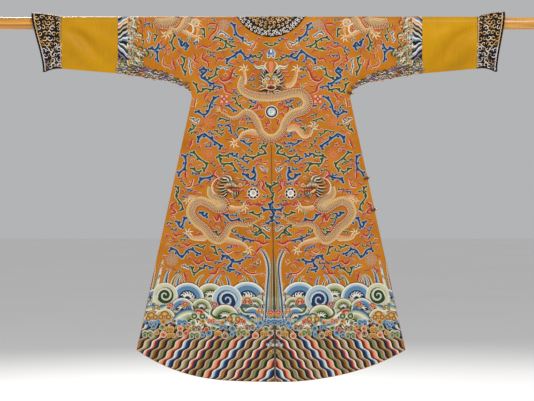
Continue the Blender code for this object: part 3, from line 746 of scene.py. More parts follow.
def robe_cloth():
    """Every piece of cloth, by its node's name."""
    neck, rim = (
        prism(name, neck_ring(radius, [2 * math.pi * step / CUTTER_SIDES for step in range(CUTTER_SIDES)]))
        for name, radius in (("cut_neck", NECK_RADIUS), ("cut_rim", NECK_BAND_RADIUS + LAID_ON))
    )
    cloth = {}

    def add(node, columns, *rest, **more):
        cloth[node] = cloth_piece("robe_" + node, columns, *rest, **more)

    for word, side in SIDES.items():
        add("body_" + word, half_columns(side), CLOTH, GROUND, [("DIFFERENCE", neck)])
        trim = SEAM / (SLEEVE_REACH[side][0] - ARMPIT_HALF_WIDTH) / 2
        shares = np.linspace(SLEEVE_SEAM_SHARE + trim, 1 - trim, SLEEVE_STEPS)
        add("sleeve_" + word, in_order(side, [sleeve_column(side, share) for share in shares]), CLOTH, YELLOW)
        shares = [step / CUFF_STEPS for step in range(CUFF_STEPS + 1)]
        columns = [cuff_column(side, share, CUFF_BINDING + SEAM) for share in shares]
        add("cuff_" + word, in_order(side, columns), CLOTH, DARK)
        insets = [CUFF_BINDING * (1 - step / BINDING_STEPS) for step in range(BINDING_STEPS + 1)]
        columns = in_order(side, [cuff_column(side, 1.0, inset) for inset in insets])
        add("cuff_binding_" + word, columns, CLOTH + 2 * LAID_ON, DARK, raised=lambda x, s: LAID_ON)

    edge = OVERLAP_LINE
    start, end = OVERLAP_SPAN
    above = [(start, 0.0), (start, edge[0][1]), *map(tuple, edge), (end, edge[-1][1]), (end, 0.0)]
    cutter = prism("cut_overlap_edge", above)
    fronts = body_columns(1, seam_only)
    fronts = [[point for point in column if point[1] >= QUARTER_TURN] for column in fronts]
    add("overlap", fronts, CLOTH, GROUND, [("DIFFERENCE", cutter), ("DIFFERENCE", rim)], overlap_lift)
    upper, lower = (edge + normals(edge) * inset for inset in (OVERLAP_BAND_INSET, OVERLAP_BAND_WIDTH))
    keeper = prism("keep_band", [tuple(point) for point in np.vstack([upper, lower[::-1]])])
    fronts = [[point for point in column if point[1] < end] for column in fronts]
    cuts = [("INTERSECT", keeper), ("DIFFERENCE", rim)]
    add("overlap_band", fronts, BAND, DARK, cuts, lambda x, s: overlap_lift(x, s) + LAID_ON + BAND)

    # the neck band is a ring of rings, left open by a slit on the wearer's right front
    half_slit = BAND_SLIT / NECK_RADIUS / 2
    turns = np.linspace(BAND_SLIT_ANGLE + half_slit, BAND_SLIT_ANGLE - half_slit + 2 * math.pi, NECK_TURNS)
    radii = np.linspace(NECK_BAND_RADIUS, NECK_RADIUS + LAID_ON, NECK_RINGS)
    columns = list(zip(*(neck_ring(radius, turns) for radius in radii)))
    add("neck_band", columns, BAND, DARK, raised=lambda x, s: LAID_ON + BAND)
    for tool in (neck, rim, cutter, keeper):
        bpy.data.objects.remove(tool)
    return cloth


def round_cord(name, points, radius, material, closed=False):
    """A cord through these points, as a mesh."""
    curve = bpy.data.curves.new(name, "CURVE")
    curve.dimensions = "3D"
    curve.bevel_depth = radius
    curve.bevel_resolution = 2
    curve.use_fill_caps = not closed
    spline = curve.splines.new("POLY")
    spline.points.add(len(points) - 1)
    for point, place in zip(spline.points, points):
        point.co = (*place, 1)
    spline.use_cyclic_u = closed
    drawn = add_object(name, curve)
    mesh = as_evaluated(drawn)
    bpy.data.objects.remove(drawn)
    mesh.name = name
    mesh.shade_smooth()
    mesh.materials.clear()
    return add_object(name, mesh, material)


# ---------------------------------------------------------------- needlework

THREADS = {
    "white": (0.74, 0.70, 0.60),
    "cream": (0.74, 0.53, 0.29),
    "straw": (0.62, 0.37, 0.13),
    "gold": (0.50, 0.235, 0.045),
    "ochre": (0.36, 0.15, 0.025),
    "umber": (0.17, 0.07, 0.016),
    "brown": (0.065, 0.022, 0.006),
    "black": (0.009, 0.007, 0.009),
    "navy": (0.010, 0.026, 0.085),
    "blue": (0.028, 0.075, 0.19),
    "azure": (0.10, 0.21, 0.34),
    "sky": (0.36, 0.46, 0.50),
    "slate": (0.075, 0.12, 0.14),
    "pine": (0.015, 0.045, 0.022),
    "leaf": (0.06, 0.11, 0.028),
    "moss": (0.20, 0.22, 0.065),
    "celadon": (0.36, 0.40, 0.21),
    "sage": (0.54, 0.53, 0.36),
    "crimson": (0.26, 0.018, 0.014),
    "vermilion": (0.52, 0.062, 0.016),
    "salmon": (0.66, 0.20, 0.095),
    "pink": (0.66, 0.34, 0.25),
    "lilac": (0.45, 0.35, 0.46),
    "violet": (0.13, 0.10, 0.28),
    "tan": (0.27, 0.155, 0.068),
    "beige": (0.47, 0.35, 0.25),
    "pale": (0.64, 0.51, 0.41),
}
FLOSS = {name: thread(name, colour) for name, colour in THREADS.items()}

EDGE_ROOM = 0.0014  # plain cloth left beside an edge
SLIT_ROOM = 0.0005  # how far the halves' stitching stays from the middle
ARMPIT_DOWN = flat_from_depth(0.36)
SUNK = -0.0001  # the rim of a motif goes just into the cloth
LOW = 0.0003  # the least that stitching stands up
CROWN = 0.0006  # how much more its middle does
LAYER = 0.0004  # one motif over another
RIM = 0.999  # the share of a motif's half width beyond which it is rim
BLUNT = 0.015  # the least share of a ribbon's width left at its tips, squared
PETAL_SIDES = 4

# (rim, middle, heart) of the shaded families
FAMILY = {
    "blue": ("sky", "azure", "navy"),
    "green": ("sage", "moss", "pine"),
    "white": ("white", "pale", "slate"),
    "red": ("pink", "vermilion", "crimson"),
    "rose": ("cream", "salmon", "crimson"),
    "gold": ("straw", "gold", "umber"),
    "cream": ("cream", "straw", "ochre"),
    "lilac": ("white", "lilac", "violet"),
    "grey": ("pale", "tan", "black"),
    "faded": ("salmon", "ochre", "crimson"),
    "dusk": ("beige", "tan", "violet"),
}

# Water from foam to depth
WATER = {
    "blue": ("white", "sky", "azure", "azure", "navy", "navy"),
    "green": ("white", "sage", "celadon", "moss", "pine", "pine"),
}


def flat(points):
    """(out, depth) in centimetres to metres on the flat cloth."""
    points = np.asarray(points, float) * CM
    return np.stack([points[:, 0], flat_from_depth(points[:, 1])], axis=1)


def unit(vectors):
    return vectors / np.maximum(np.linalg.norm(vectors, axis=-1, keepdims=True), 1e-9)


class Needlework:
    """Stitched motifs, gathered as grids of faces on the flat cloth and hung with it as one piece."""

    def __init__(self, name, face, least=None, mirror=1):
        self.name = name
        self.face = face
        self.least = least
        self.mirror = mirror
        self.lift = 0.0
        self.points, self.maps, self.faces, self.colours = [], [], [], []
        self.count = 0
        self.index = {name: index for index, name in enumerate(THREADS)}

    @contextmanager
    def raised(self, height=LAYER):
        """What is stitched meanwhile stands this much higher."""
        self.lift += height
        yield
        self.lift -= height

    def robe_x(self, out, down):
        """The middle seam drifts sideways as it falls, and the motifs with it."""
        depth = depth_from_flat(down)
        below = np.clip(np.abs(out) / side_x(depth), 0, 1)
        return out + seam_drift(depth) * (1 - below)

    def patch(self, out, down, height, threads):
        """A grid of faces, or several at once: ..., rows, columns. threads colours its columns of faces."""
        out, down, height = np.broadcast_arrays(out, down, height)
        if self.least is not None:
            down = np.clip(down, 0, flat_from_depth(ROBE_LENGTH))
            edge = side_x(depth_from_flat(down)) - EDGE_ROOM
            out = np.where(down > ARMPIT_DOWN, np.minimum(out, edge), out)
            out = np.maximum(out, self.least)
        out = out * self.mirror
        along, across = np.zeros(out.shape), np.zeros(out.shape)
        along[..., 1:, :] = np.cumsum(np.hypot(np.diff(out, axis=-2), np.diff(down, axis=-2)), axis=-2)
        across[..., 1:] = np.cumsum(np.hypot(np.diff(out, axis=-1), np.diff(down, axis=-1)), axis=-1)
        middle = along[..., out.shape[-1] // 2, None] + 0 * along
        x, s = self.robe_x(out, down), down * self.face
        self.points.append(np.stack([x, s, height + self.lift], axis=-1).reshape(-1, 3))
        self.maps.append(np.stack([middle, across], axis=-1).reshape(-1, 2))
        grid = np.arange(out.size).reshape(out.shape) + self.count
        corners = (grid[..., :-1, :-1], grid[..., :-1, 1:], grid[..., 1:, 1:], grid[..., 1:, :-1])
        quads = np.stack(corners, axis=-1)
        self.faces.append(quads.reshape(-1, 4))
        shades = np.array([self.index[name] for name in threads])
        self.colours.append(np.broadcast_to(shades, quads.shape[:-1]).ravel())
        self.count += out.size

    def band(self, line, half, edges, threads, crown=CROWN):
        """Stitching along a line in metres. edges run from -1 to 1 across it."""
        edges = np.asarray(edges, float)
        half = np.broadcast_to(half, len(line))
        place = line[:, None, :] + normals(line)[:, None, :] * (half[:, None] * edges)[..., None]
        height = np.where(np.abs(edges) > RIM, SUNK, LOW + crown * (1 - edges**2))
        self.patch(place[..., 0], place[..., 1], height, threads)

    def ribbon(self, points, width, threads, tips=(0.15, 0.25), steps=5, edges=None, crown=CROWN):
        """A tapered band through points in centimetres; width is its half width in centimetres."""
        line = rounded(flat(points), steps)
        along = np.linspace(0, 1, len(line))
        if not np.isscalar(width):
            width = spread(width, len(line))
        head = np.sqrt(np.clip(along / tips[0], BLUNT, 1))
        tail = np.sqrt(np.clip((1 - along) / tips[1], BLUNT, 1))
        if edges is None:
            edges = np.linspace(-1, 1, len(threads) + 1)
        self.band(line, width * CM * head * tail, edges, threads, crown)
        return line

    def rings(self, centre, radii, threads, sides=12, squash=1.0):
        """Discs of rings from the rim inward, at one or more centres in metres."""
        centre = np.asarray(centre, float).reshape(-1, 1, 1, 2)
        radii = np.asarray([*radii, 0.0])
        turns = np.linspace(0, 2 * math.pi, sides + 1)[:, None]
        height = np.where(radii >= radii[0], SUNK, LOW + CROWN * (1 - (radii / radii[0]) ** 2))
        out = centre[..., 0] + radii * np.cos(turns)
        down = centre[..., 1] + radii * np.sin(turns) * squash
        self.patch(out, down, height, threads)

    def discs(self, centres, radius, shares, threads, **shape):
        """The same in centimetres, with the rings' radii as shares of one radius."""
        self.rings(flat(centres), np.array(shares) * radius * CM, threads, **shape)

    def petals(self, centres, ways, radius, threads):
        """Half discs that face each way: scales, fins and teeth."""
        centres, ways = np.asarray(centres, float), unit(np.asarray(ways, float))
        radii = np.broadcast_to(radius, len(centres))[:, None, None]
        shares = np.linspace(1, 0, len(threads) + 1)
        turns = np.linspace(-math.pi / 2, math.pi / 2, PETAL_SIDES + 1)[:, None]
        side = np.stack([-ways[:, 1], ways[:, 0]], axis=1)
        forth, aside = shares * np.cos(turns), shares * np.sin(turns)
        place = (
            centres[:, None, None, :]
            + (radii * forth)[..., None] * ways[:, None, None, :]
            + (radii * aside)[..., None] * side[:, None, None, :]
        )
        self.patch(place[..., 0], place[..., 1], LOW + CROWN * (1 - shares), threads)

    def arc(self, centre, radii, turns, threads, sides):
        """Concentric bands round a centre in centimetres, from one turn in degrees to another."""
        centre = flat([centre])[0]
        radii = np.asarray(radii, float) * CM
        sweep = np.radians(np.linspace(*turns, sides + 1))[:, None]
        shares = np.linspace(-1, 1, len(radii))
        height = np.where(np.abs(shares) > RIM, SUNK, LOW + CROWN * (1 - shares**2))
        self.patch(centre[0] + radii * np.cos(sweep), centre[1] - radii * np.sin(sweep), height, threads)

    def spiral(self, centre, radius, turns, width, threads, start=0.0, inner=0.12):
        """A band that winds in to a centre in centimetres. turns below 0 winds the other way."""
        centre = flat([centre])[0]
        share = np.linspace(0, 1, int(12 * abs(turns)) + 1)
        angle = math.radians(start) + share * turns * 2 * math.pi
        reach = radius * CM * (1 - (1 - inner) * share)
        line = centre + np.stack([reach * np.cos(angle), -reach * np.sin(angle)], axis=1)
        half = width * CM * (1 - 0.6 * share) * np.sqrt(np.clip(share / 0.06, 0.02, 1))
        self.band(line, half, np.linspace(-1, 1, len(threads) + 1), threads)

    def make(self):
        """The gathered stitching as one hung mesh."""
        points, maps = np.vstack(self.points), np.vstack(self.maps)
        faces, colours = np.vstack(self.faces), np.concatenate(self.colours)
        corner = points[faces][..., :2]
        ahead, aside = corner[:, 2] - corner[:, 0], corner[:, 3] - corner[:, 1]
        turned = ahead[:, 0] * aside[:, 1] - ahead[:, 1] * aside[:, 0] < 0
        faces[turned] = faces[turned][:, ::-1]
        x, s, height = points.T
        mesh = new_mesh(self.name, hang(x, s, height + skin(x, s)).tolist(), faces.tolist())
        used = sorted(set(colours.tolist()))
        names = list(THREADS)
        for index in used:
            mesh.materials.append(FLOSS[names[index]])
        mesh.polygons.foreach_set("material_index", np.searchsorted(used, colours))
        layer = mesh.uv_layers.new(name=STITCH_MAP)
        layer.data.foreach_set("uv", maps[faces.ravel()].ravel())
        mesh.shade_smooth()
        reworked(mesh, weld)
        mesh.validate()
        piece = add_object(self.name, mesh)
        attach(piece, "root")
        return piece


# ---------------------------------------------------------------- motifs

CLOUD_GROWTH = 1.42
FLAME_GROWTH = 1.32


def cloud(work, family, size, points):
    """A trailing cloud: a zigzag dark spine in a pale rim, with lobes at its bends and ends."""
    rim, middle, heart = FAMILY[family]
    size = size * CLOUD_GROWTH
    line = rounded(flat(points), 6)
    length = np.linalg.norm(np.diff(line, axis=0), axis=1).sum()
    knobs = max(2, round(length / (2.1 * size * CM)))
    along = np.linspace(0, 1, len(line))
    beat = np.sin(math.pi * knobs * along)
    ends = np.sqrt(np.clip(np.minimum(along, 1 - along) / 0.08, 0.03, 1))
    half = size * CM * (0.44 + 0.26 * np.abs(beat)) * ends
    aside = normals(line)
    line = line + aside * (0.30 * size * CM * beat)[:, None]
    work.band(line, half, (-1, -0.62, -0.22, 0.64, 1), (rim, middle, heart, rim))
    marks = (np.arange(knobs) + 0.5) / knobs
    place, across = (at_marks(marks, along, values) for values in (line, aside))
    way = np.where(np.arange(knobs) % 2, 1, -1)[:, None]
    radius = 0.60 * size * CM
    centres = np.vstack([place - across * way * 0.52 * size * CM, line[:1], line[-1:]])
    work.rings(centres, (radius, radius * 0.70), (rim, heart), sides=8)
    with work.raised():
        work.rings(centres[::2], (radius * 0.30,), (middle,), sides=6)


def flame(work, family, size, points):
    """A tongue of flame: a wavering dark spine with a bright rim, and side tongues."""
    rim, middle, heart = FAMILY[family]
    size = size * FLAME_GROWTH
    line = rounded(flat(points), 6)
    along = np.linspace(0, 1, len(line))
    line = line + normals(line) * (0.28 * size * CM * np.sin(along * 3.2 * math.pi))[:, None]
    half = size * CM * np.sin(math.pi * np.clip(along * 0.92 + 0.04, 0, 1)) ** 0.6
    work.band(line, half, (-1, -0.40, 0.30, 1), (rim, heart, middle))
    aside = normals(line)
    for share, hand in ((0.24, 1), (0.5, -1), (0.74, 1)):
        root = int(share * (len(line) - 1))
        forth = unit(line[min(root + 1, len(line) - 1)] - line[root - 1])
        tip = line[root] + (aside[root] * hand * 2.3 + forth * 1.9) * size * CM
        elbow = line[root] + (aside[root] * hand * 1.6 + forth * 0.1) * size * CM
        tongue = rounded([line[root], elbow, tip], 4)
        reach = np.linspace(1, 0.1, len(tongue))
        work.band(tongue, size * CM * 0.46 * reach, (-1, 0.0, 1), (rim, heart))


def scroll_head(work, centre, size, family, tilt, under):
    """A cloud head: two curls side by side, of the family under, on a humped cap."""
    rim, middle, heart = FAMILY[family]
    low_rim, low_middle, low_heart = FAMILY[under]
    out, depth = centre
    lean = math.radians(tilt)

    def at(across, up):
        return (
            out + size * (across * math.cos(lean) + up * math.sin(lean)),
            depth - size * (up * math.cos(lean) - across * math.sin(lean)),
        )

    work.discs([at(0, 0.35)], size, (1.0, 0.80, 0.56, 0.30), (rim, heart, middle, rim), sides=14, squash=0.72)
    names = (low_rim, low_heart, low_middle, low_rim)
    with work.raised():
        work.discs([at(-0.68, -0.2), at(0.68, -0.2)], size, (0.64, 0.50, 0.32, 0.14), names, sides=10)


def bead_row(work, line, radius, gap):
    """Small foam beads along a line in metres."""
    length = run_length(line)
    marks = np.arange(gap / 2, length[-1], gap)
    work.rings(at_marks(marks, length, line), (radius, radius * 0.5), ("white", "white"), sides=6)


def foam(work, root, height, lean, family):
    """A frond of spray: a curved horn with beads down its outer side."""
    rim, middle, heart = FAMILY[family]
    out, depth = root
    points = [
        (out, depth),
        (out + lean * 0.15 * height, depth - height * 0.4),
        (out + lean * 0.45 * height, depth - height * 0.78),
        (out + lean * 0.85 * height, depth - height),
    ]
    line = rounded(flat(points), 4)
    half = np.linspace(height * 0.17, height * 0.03, len(line)) * CM
    work.band(line, half, (-1, -0.4, 0.2, 1), (rim, middle, heart) if lean > 0 else (heart, middle, rim))
    hand = -1 if lean > 0 else 1
    bead_row(work, line - normals(line) * hand * (half + 0.0012)[:, None], 0.0022, 0.0056)


def wave_hump(work, centre, radius, family, turns):
    """A breaking wave: concentric arcs that shade from white foam to deep water, with curls on them."""
    shares = np.array([1.05, 0.99, 0.90, 0.79, 0.67, 0.54, 0.40, 0.04])
    work.arc(centre, shares * radius, turns, ("umber", *WATER[family]), sides=16)
    reach = radius * 0.30
    with work.raised():
        for turn in range(turns[1] + 22, turns[0] - 10, 24):
            angle = math.radians(turn)
            place = (centre[0] + reach * math.cos(angle), centre[1] - reach * math.sin(angle))
            work.spiral(place, radius * 0.16, 0.9, radius * 0.045, ("white", "white"), turn, 0.3)


def wave_spiral(work, centre, radius, family, hand):
    """A great rolling wave: a pale band that winds in over deep water."""
    foam_white, pale, light, _, deep, heart = WATER[family]
    work.discs([centre], radius, (1.08, 1.00, 0.72, 0.60), (foam_white, pale, deep, heart), sides=26)
    start = 205 if hand > 0 else -25
    names = (light, pale, foam_white)
    with work.raised():
        work.spiral(centre, radius * 0.72, -hand * 1.6, radius * 0.17, names[::hand], start, 0.10)
        work.discs([centre], radius, (0.16,), (deep,), sides=8)


def pearl(work, centre, radius, wheel):
    """A pearl: a pale disc in a dark ring, with a comma curl in it. A wheel has white beads on its ring."""
    if wheel:
        work.discs([centre], radius, (1.25, 1.12, 0.72, 0.3), ("white", "black", "white", "sky"), sides=24)
    else:
        work.discs([centre], radius, (1.28, 1.12, 0.82, 0.55), ("white", "black", "sky", "white"), sides=24)
    with work.raised():
        if wheel:
            beads = flat([centre]) + around(8) * radius * 0.94 * CM
            work.rings(beads, (radius * 0.17 * CM,), ("white",), sides=7)
        name = "vermilion" if wheel else "navy"
        work.spiral(centre, radius * 0.42, 1.2, radius * 0.13, (name, name), 30, 0.15)


def knot(work, centre, size, family):
    """A plain interlaced knot: a square of four loops and a ring."""
    rim, middle, heart = FAMILY[family]
    out, depth = centre
    for across, up in ((1, 1), (1, -1), (-1, 1), (-1, -1)):
        place = (out + across * size * 0.45, depth + up * size * 0.5)
        work.discs([place], size, (0.46, 0.28), (middle, rim), sides=8)
    with work.raised():
        work.discs([centre], size, (0.42, 0.24), (heart, rim), sides=8)


def medallion(work, centre, radius, family):
    """A round of small blossoms."""
    rim, middle, heart = FAMILY[family]
    for count, reach, size, names in ((9, 0.78, 0.22, (rim, heart)), (5, 0.38, 0.20, (rim, middle))):
        places = flat([centre]) + around(count) * radius * reach * CM
        work.rings(places, np.array([size, size * 0.5]) * radius * CM, names, sides=6)
    work.discs([centre], radius, (0.2, 0.1), (rim, heart), sides=6)


# ---------------------------------------------------------------- parts of dragons

BODY_LIFT = 0.0008  # of a dragon's body over its legs
BODY_CROWN, LEG_CROWN = 0.0018, 0.0013
BODY_SCALE, LEG_SCALE = 0.0062, 0.0055
FIN_START, FIN_PITCH = 0.003, 0.0075  # along the edge of the body
FIN_SIZES = (0.0014, 0.0040)  # the least and the most
FIN_LIFT = 0.0003
SCALE_LIFT = 0.0014  # over the fins
LEG_SCALE_LIFT = 0.0012
FEATURE_LIFT = 0.0012  # of a face's features
TOOTH = 0.0024
SCALE_SHADES = (("cream", "beige", "brown"), ("cream", "straw", "tan"), ("cream", "beige", "umber"))


def scales(work, line, half, size):
    """Rows of overlapping scales along a body, each half a scale on from the last."""
    length = run_length(line)
    marks = np.arange(size, length[-1] - size, size * 0.9)
    centre = at_marks(marks, length, line)
    side = unit(at_marks(marks, length, normals(line)))
    reach = np.interp(marks, length, half)
    forth = np.stack([side[:, 1], -side[:, 0]], axis=1)
    pitch = size * 1.15
    for row, (place, across, room, way) in enumerate(zip(centre, side, reach, forth)):
        count = max(1, round(2 * room * 0.74 / pitch))
        offset = (np.arange(count) - (count - 1) / 2 + (0.25 if row % 2 else -0.25)) * size * 1.15
        offset = offset[np.abs(offset) < room * 0.74]
        if len(offset):
            shades = SCALE_SHADES[row * 5 % 7 % len(SCALE_SHADES)]
            ways = np.tile(-way, (len(offset), 1))
            work.petals(place + across * offset[:, None], ways, size * 0.58, shades)


def body(work, points, width, fin_side):
    """A scaled body: a ribbon with a pale back edge, fins along it, and a darker belly."""
    line = rounded(flat(points), 6)
    half = spread(width, len(line)) * CM
    names = ("cream", "straw", "ochre", "umber", "salmon", "crimson")
    edges = (-1, -0.86, -0.5, 0.2, 0.66, 0.88, 1)
    if fin_side > 0:
        names, edges = names[::-1], [-edge for edge in reversed(edges)]
    work.band(line, half, edges, names, crown=BODY_CROWN)
    edge = line - normals(line) * (half * 0.93)[:, None] * -fin_side
    length = run_length(edge)
    marks = np.arange(FIN_START, length[-1], FIN_PITCH)
    out = at_marks(marks, length, normals(line)) * fin_side
    size = np.clip(np.interp(marks, length, half) * 0.22, *FIN_SIZES)
    with work.raised(FIN_LIFT):
        work.petals(at_marks(marks, length, edge), out, size, ("straw", "cream"))
        with work.raised(SCALE_LIFT):
            scales(work, line, half, BODY_SCALE)


def claw(work, centre, way, size):
    """A foot with five hooked talons, spread about a direction in degrees."""
    work.discs([centre], size, (0.42, 0.25), ("cream", "gold"), sides=9)
    root = np.array(centre)
    width = [0.16 * size, 0.12 * size, 0.04 * size]
    for turn in (-105, -55, -5, 45, 100):
        ahead, bent = heading(way + turn), heading(way + turn + 38)
        tip = root + ahead * 0.78 * size + bent * 0.34 * size
        points = [root + ahead * 0.25 * size, root + ahead * 0.62 * size, tip]
        work.ribbon(points, width, ("ochre", "cream", "white"), (0.1, 0.4), 4)


def leg(work, points, width, talons, way, tuft=None):
    """A scaled leg that ends in a claw of size talons. tuft is (out, depth, degrees) of the dark flames
    at its elbow."""
    if tuft:
        start = np.array(tuft[:2])
        for turn in (-30, 0, 30):
            ahead = heading(tuft[2] + turn)
            lock = [start, start + ahead * 1.3, start + ahead * 2.3 + (0, -0.3)]
            work.ribbon(lock, 0.3, ("sage", "pine"), (0.2, 0.6), 4)
    with work.raised():
        line = work.ribbon(points, width, ("salmon", "gold", "straw", "cream"), (0.1, 0.1), crown=LEG_CROWN)
        with work.raised(LEG_SCALE_LIFT):
            scales(work, line, spread(width, len(line)) * CM, LEG_SCALE)
        claw(work, points[-1], way, talons)


def spikes(work, rows, threads):
    """Locks of mane: (root out, root depth, degrees, length, half width)."""
    for out, depth, degrees, length, width in rows:
        ahead = heading(degrees)
        bend = np.array([-ahead[1], ahead[0]]) * (0.14 * length)
        start = np.array([out, depth])
        points = [start, start + ahead * length * 0.5 + bend, start + ahead * length]
        work.ribbon(points, [width, width * 0.8, width * 0.2], threads, (0.1, 0.5), 4)


# ---------------------------------------------------------------- the field: clouds, flames and emblems

# Clouds of one half, mirrored on the other: (family, size, points as (out, depth))
CLOUDS = (
    ("blue", 0.85, ((15.5, 2.8), (14.0, 5.5), (12.5, 8.0), (10.8, 9.8))),
    ("white", 0.70, ((11.0, 9.6), (9.3, 10.6), (7.2, 10.2))),
    ("blue", 0.90, ((17.2, 18.3), (14.8, 15.5), (12.0, 14.4), (9.0, 16.2), (7.0, 15.8))),
    ("green", 0.70, ((7.0, 15.6), (5.4, 16.2), (3.8, 15.6))),
    ("green", 0.75, ((22.5, 9.1), (19.5, 8.6), (17.6, 10.5), (14.0, 11.8))),
    ("green", 0.70, ((21.0, 13.2), (18.6, 12.8), (17.6, 10.9))),
    ("white", 0.70, ((20.4, 7.0), (18.3, 6.6), (16.6, 7.8))),
    ("blue", 0.90, ((27.6, 21.0), (25.2, 21.4), (27.2, 23.8), (24.6, 25.4), (22.4, 26.2))),
    ("green", 0.75, ((24.8, 25.2), (22.4, 23.6), (21.4, 21.6), (20.2, 20.6))),
    ("white", 0.55, ((20.2, 20.6), (18.5, 19.8), (16.6, 20.4))),
    ("blue", 0.85, ((29.4, 37.2), (26.6, 38.0), (24.2, 37.4), (23.8, 34.4), (20.4, 31.2))),
    ("blue", 0.95, ((28.4, 48.8), (26.0, 45.6), (23.6, 48.0), (21.0, 49.2), (20.0, 51.6))),
    ("green", 0.75, ((30.2, 25.8), (28.8, 28.0), (27.0, 29.4), (25.0, 28.2), (22.4, 28.6))),
    ("blue", 0.65, ((22.6, 28.3), (20.8, 27.2), (19.2, 27.6))),
    ("green", 0.70, ((15.0, 31.8), (13.2, 33.4), (12.4, 35.2), (9.4, 36.2), (6.8, 35.0))),
    ("blue", 0.60, ((8.6, 32.6), (7.2, 33.6), (5.6, 32.8))),
    ("blue", 0.70, ((17.6, 34.8), (15.4, 35.8), (13.4, 36.8))),
    ("green", 0.65, ((20.6, 40.6), (18.4, 40.0), (16.4, 40.6))),
    ("white", 0.70, ((31.2, 39.8), (29.8, 40.8), (28.2, 40.2))),
    ("green", 0.70, ((32.0, 44.8), (30.2, 43.8), (30.6, 42.0))),
    ("blue", 0.70, ((17.6, 42.6), (15.8, 43.4), (15.4, 45.4))),
    ("green", 0.65, ((13.2, 44.6), (11.2, 43.4), (9.2, 43.8))),
    ("blue", 0.70, ((11.8, 48.4), (9.8, 49.6), (7.6, 49.2))),
    ("green", 0.60, ((22.0, 44.4), (20.4, 45.6), (18.6, 45.4))),
    ("green", 0.80, ((21.2, 55.0), (18.4, 54.4), (16.2, 53.4))),
    ("blue", 0.75, ((16.2, 53.4), (14.8, 54.4), (13.2, 53.4))),
    ("green", 0.80, ((1.6, 49.6), (3.6, 50.6), (2.8, 52.8), (5.0, 54.2), (8.0, 54.6), (10.8, 54.6))),
    ("blue", 0.65, ((12.2, 55.2), (10.4, 56.4), (8.8, 56.2))),
    ("green", 0.80, ((31.2, 53.0), (28.4, 54.6), (25.4, 58.0), (26.2, 60.2))),
    ("green", 0.75, ((31.2, 59.2), (29.2, 60.4), (27.4, 60.2))),
    ("blue", 0.85, ((34.6, 54.0), (33.0, 57.0), (34.4, 59.4), (36.0, 62.0))),
    ("green", 0.80, ((20.6, 54.6), (19.6, 57.0), (17.0, 57.4), (14.6, 58.6), (13.2, 60.4))),
    ("blue", 0.95, ((11.0, 61.4), (8.6, 63.2), (6.2, 61.6), (6.8, 59.0))),
    ("white", 0.60, ((4.4, 58.6), (3.2, 59.8), (1.8, 59.4))),
    ("blue", 0.90, ((28.0, 64.6), (25.6, 63.0), (23.0, 62.2))),
    ("green", 0.75, ((37.2, 66.2), (36.0, 68.4), (37.4, 70.0), (34.8, 73.0), (35.4, 75.6))),
    ("blue", 0.85, ((37.0, 79.8), (35.4, 81.8), (33.0, 78.8), (30.4, 80.2))),
    ("blue", 0.90, ((28.0, 76.4), (26.6, 77.6), (25.2, 76.8))),
    ("blue", 0.85, ((18.8, 77.0), (16.6, 79.0), (14.4, 79.4), (12.2, 79.9))),
    ("green", 0.75, ((8.8, 76.4), (6.6, 77.2), (4.4, 76.6))),
    ("green", 0.70, ((29.8, 81.6), (28.2, 82.6), (26.6, 82.2))),
    ("green", 0.75, ((22.6, 83.8), (21.2, 84.8), (19.6, 84.0))),
    ("green", 0.60, ((16.6, 83.2), (15.2, 84.0), (14.0, 83.2))),
    ("blue", 0.60, ((14.4, 85.2), (12.8, 86.0), (11.2, 85.6))),
    ("green", 0.75, ((9.4, 81.8), (7.4, 81.0), (5.4, 82.8), (6.4, 85.0), (3.6, 84.6), (1.4, 86.4))),
    ("white", 0.65, ((4.0, 81.8), (2.6, 82.8), (1.4, 82.4))),
    ("blue", 0.75, ((11.6, 87.6), (9.6, 86.8), (7.6, 87.2))),
    ("blue", 0.85, ((39.6, 91.4), (37.0, 91.0), (34.8, 94.2), (33.0, 91.0), (30.4, 91.4), (27.8, 92.4))),
    ("green", 0.75, ((23.6, 89.6), (22.0, 91.0), (21.4, 92.6))),
    ("green", 0.65, ((29.8, 89.2), (28.0, 89.8), (26.0, 89.2))),
    ("blue", 0.90, ((19.6, 94.4), (17.2, 93.2), (15.8, 95.6), (11.8, 94.8))),
    ("blue", 0.80, ((15.8, 95.6), (17.6, 97.8), (15.2, 98.6))),
    ("white", 0.65, ((34.8, 97.2), (33.2, 97.8), (31.6, 97.2))),
    ("green", 0.80, ((31.8, 97.4), (30.2, 99.6), (26.6, 98.0))),
    ("blue", 0.65, ((26.6, 97.8), (25.0, 97.2), (23.2, 97.8))),
    ("blue", 0.85, ((35.8, 9.0), (35.0, 11.6), (33.2, 10.2), (33.2, 13.0))),
    ("green", 0.75, ((37.8, 6.6), (38.4, 10.2), (38.2, 13.4))),
    ("white", 0.60, ((31.8, 16.6), (31.6, 19.4), (31.4, 22.4))),
    ("green", 0.75, ((34.8, 15.6), (33.8, 18.0), (34.4, 20.4), (33.4, 22.8))),
    ("blue", 0.85, ((47.4, 12.8), (45.2, 13.2), (43.6, 11.0))),
    ("blue", 0.75, ((45.2, 13.4), (44.2, 15.4), (43.8, 17.6))),
    ("white", 0.60, ((47.6, 6.2), (47.2, 8.0), (47.4, 10.0))),
    ("green", 0.60, ((45.2, 7.2), (44.6, 8.4), (45.2, 9.6))),
    ("green", 0.70, ((27.2, 5.0), (25.8, 6.2), (25.8, 8.0))),
    ("green", 0.60, ((2.6, 10.6), (1.0, 11.4), (-0.6, 10.8))),
)

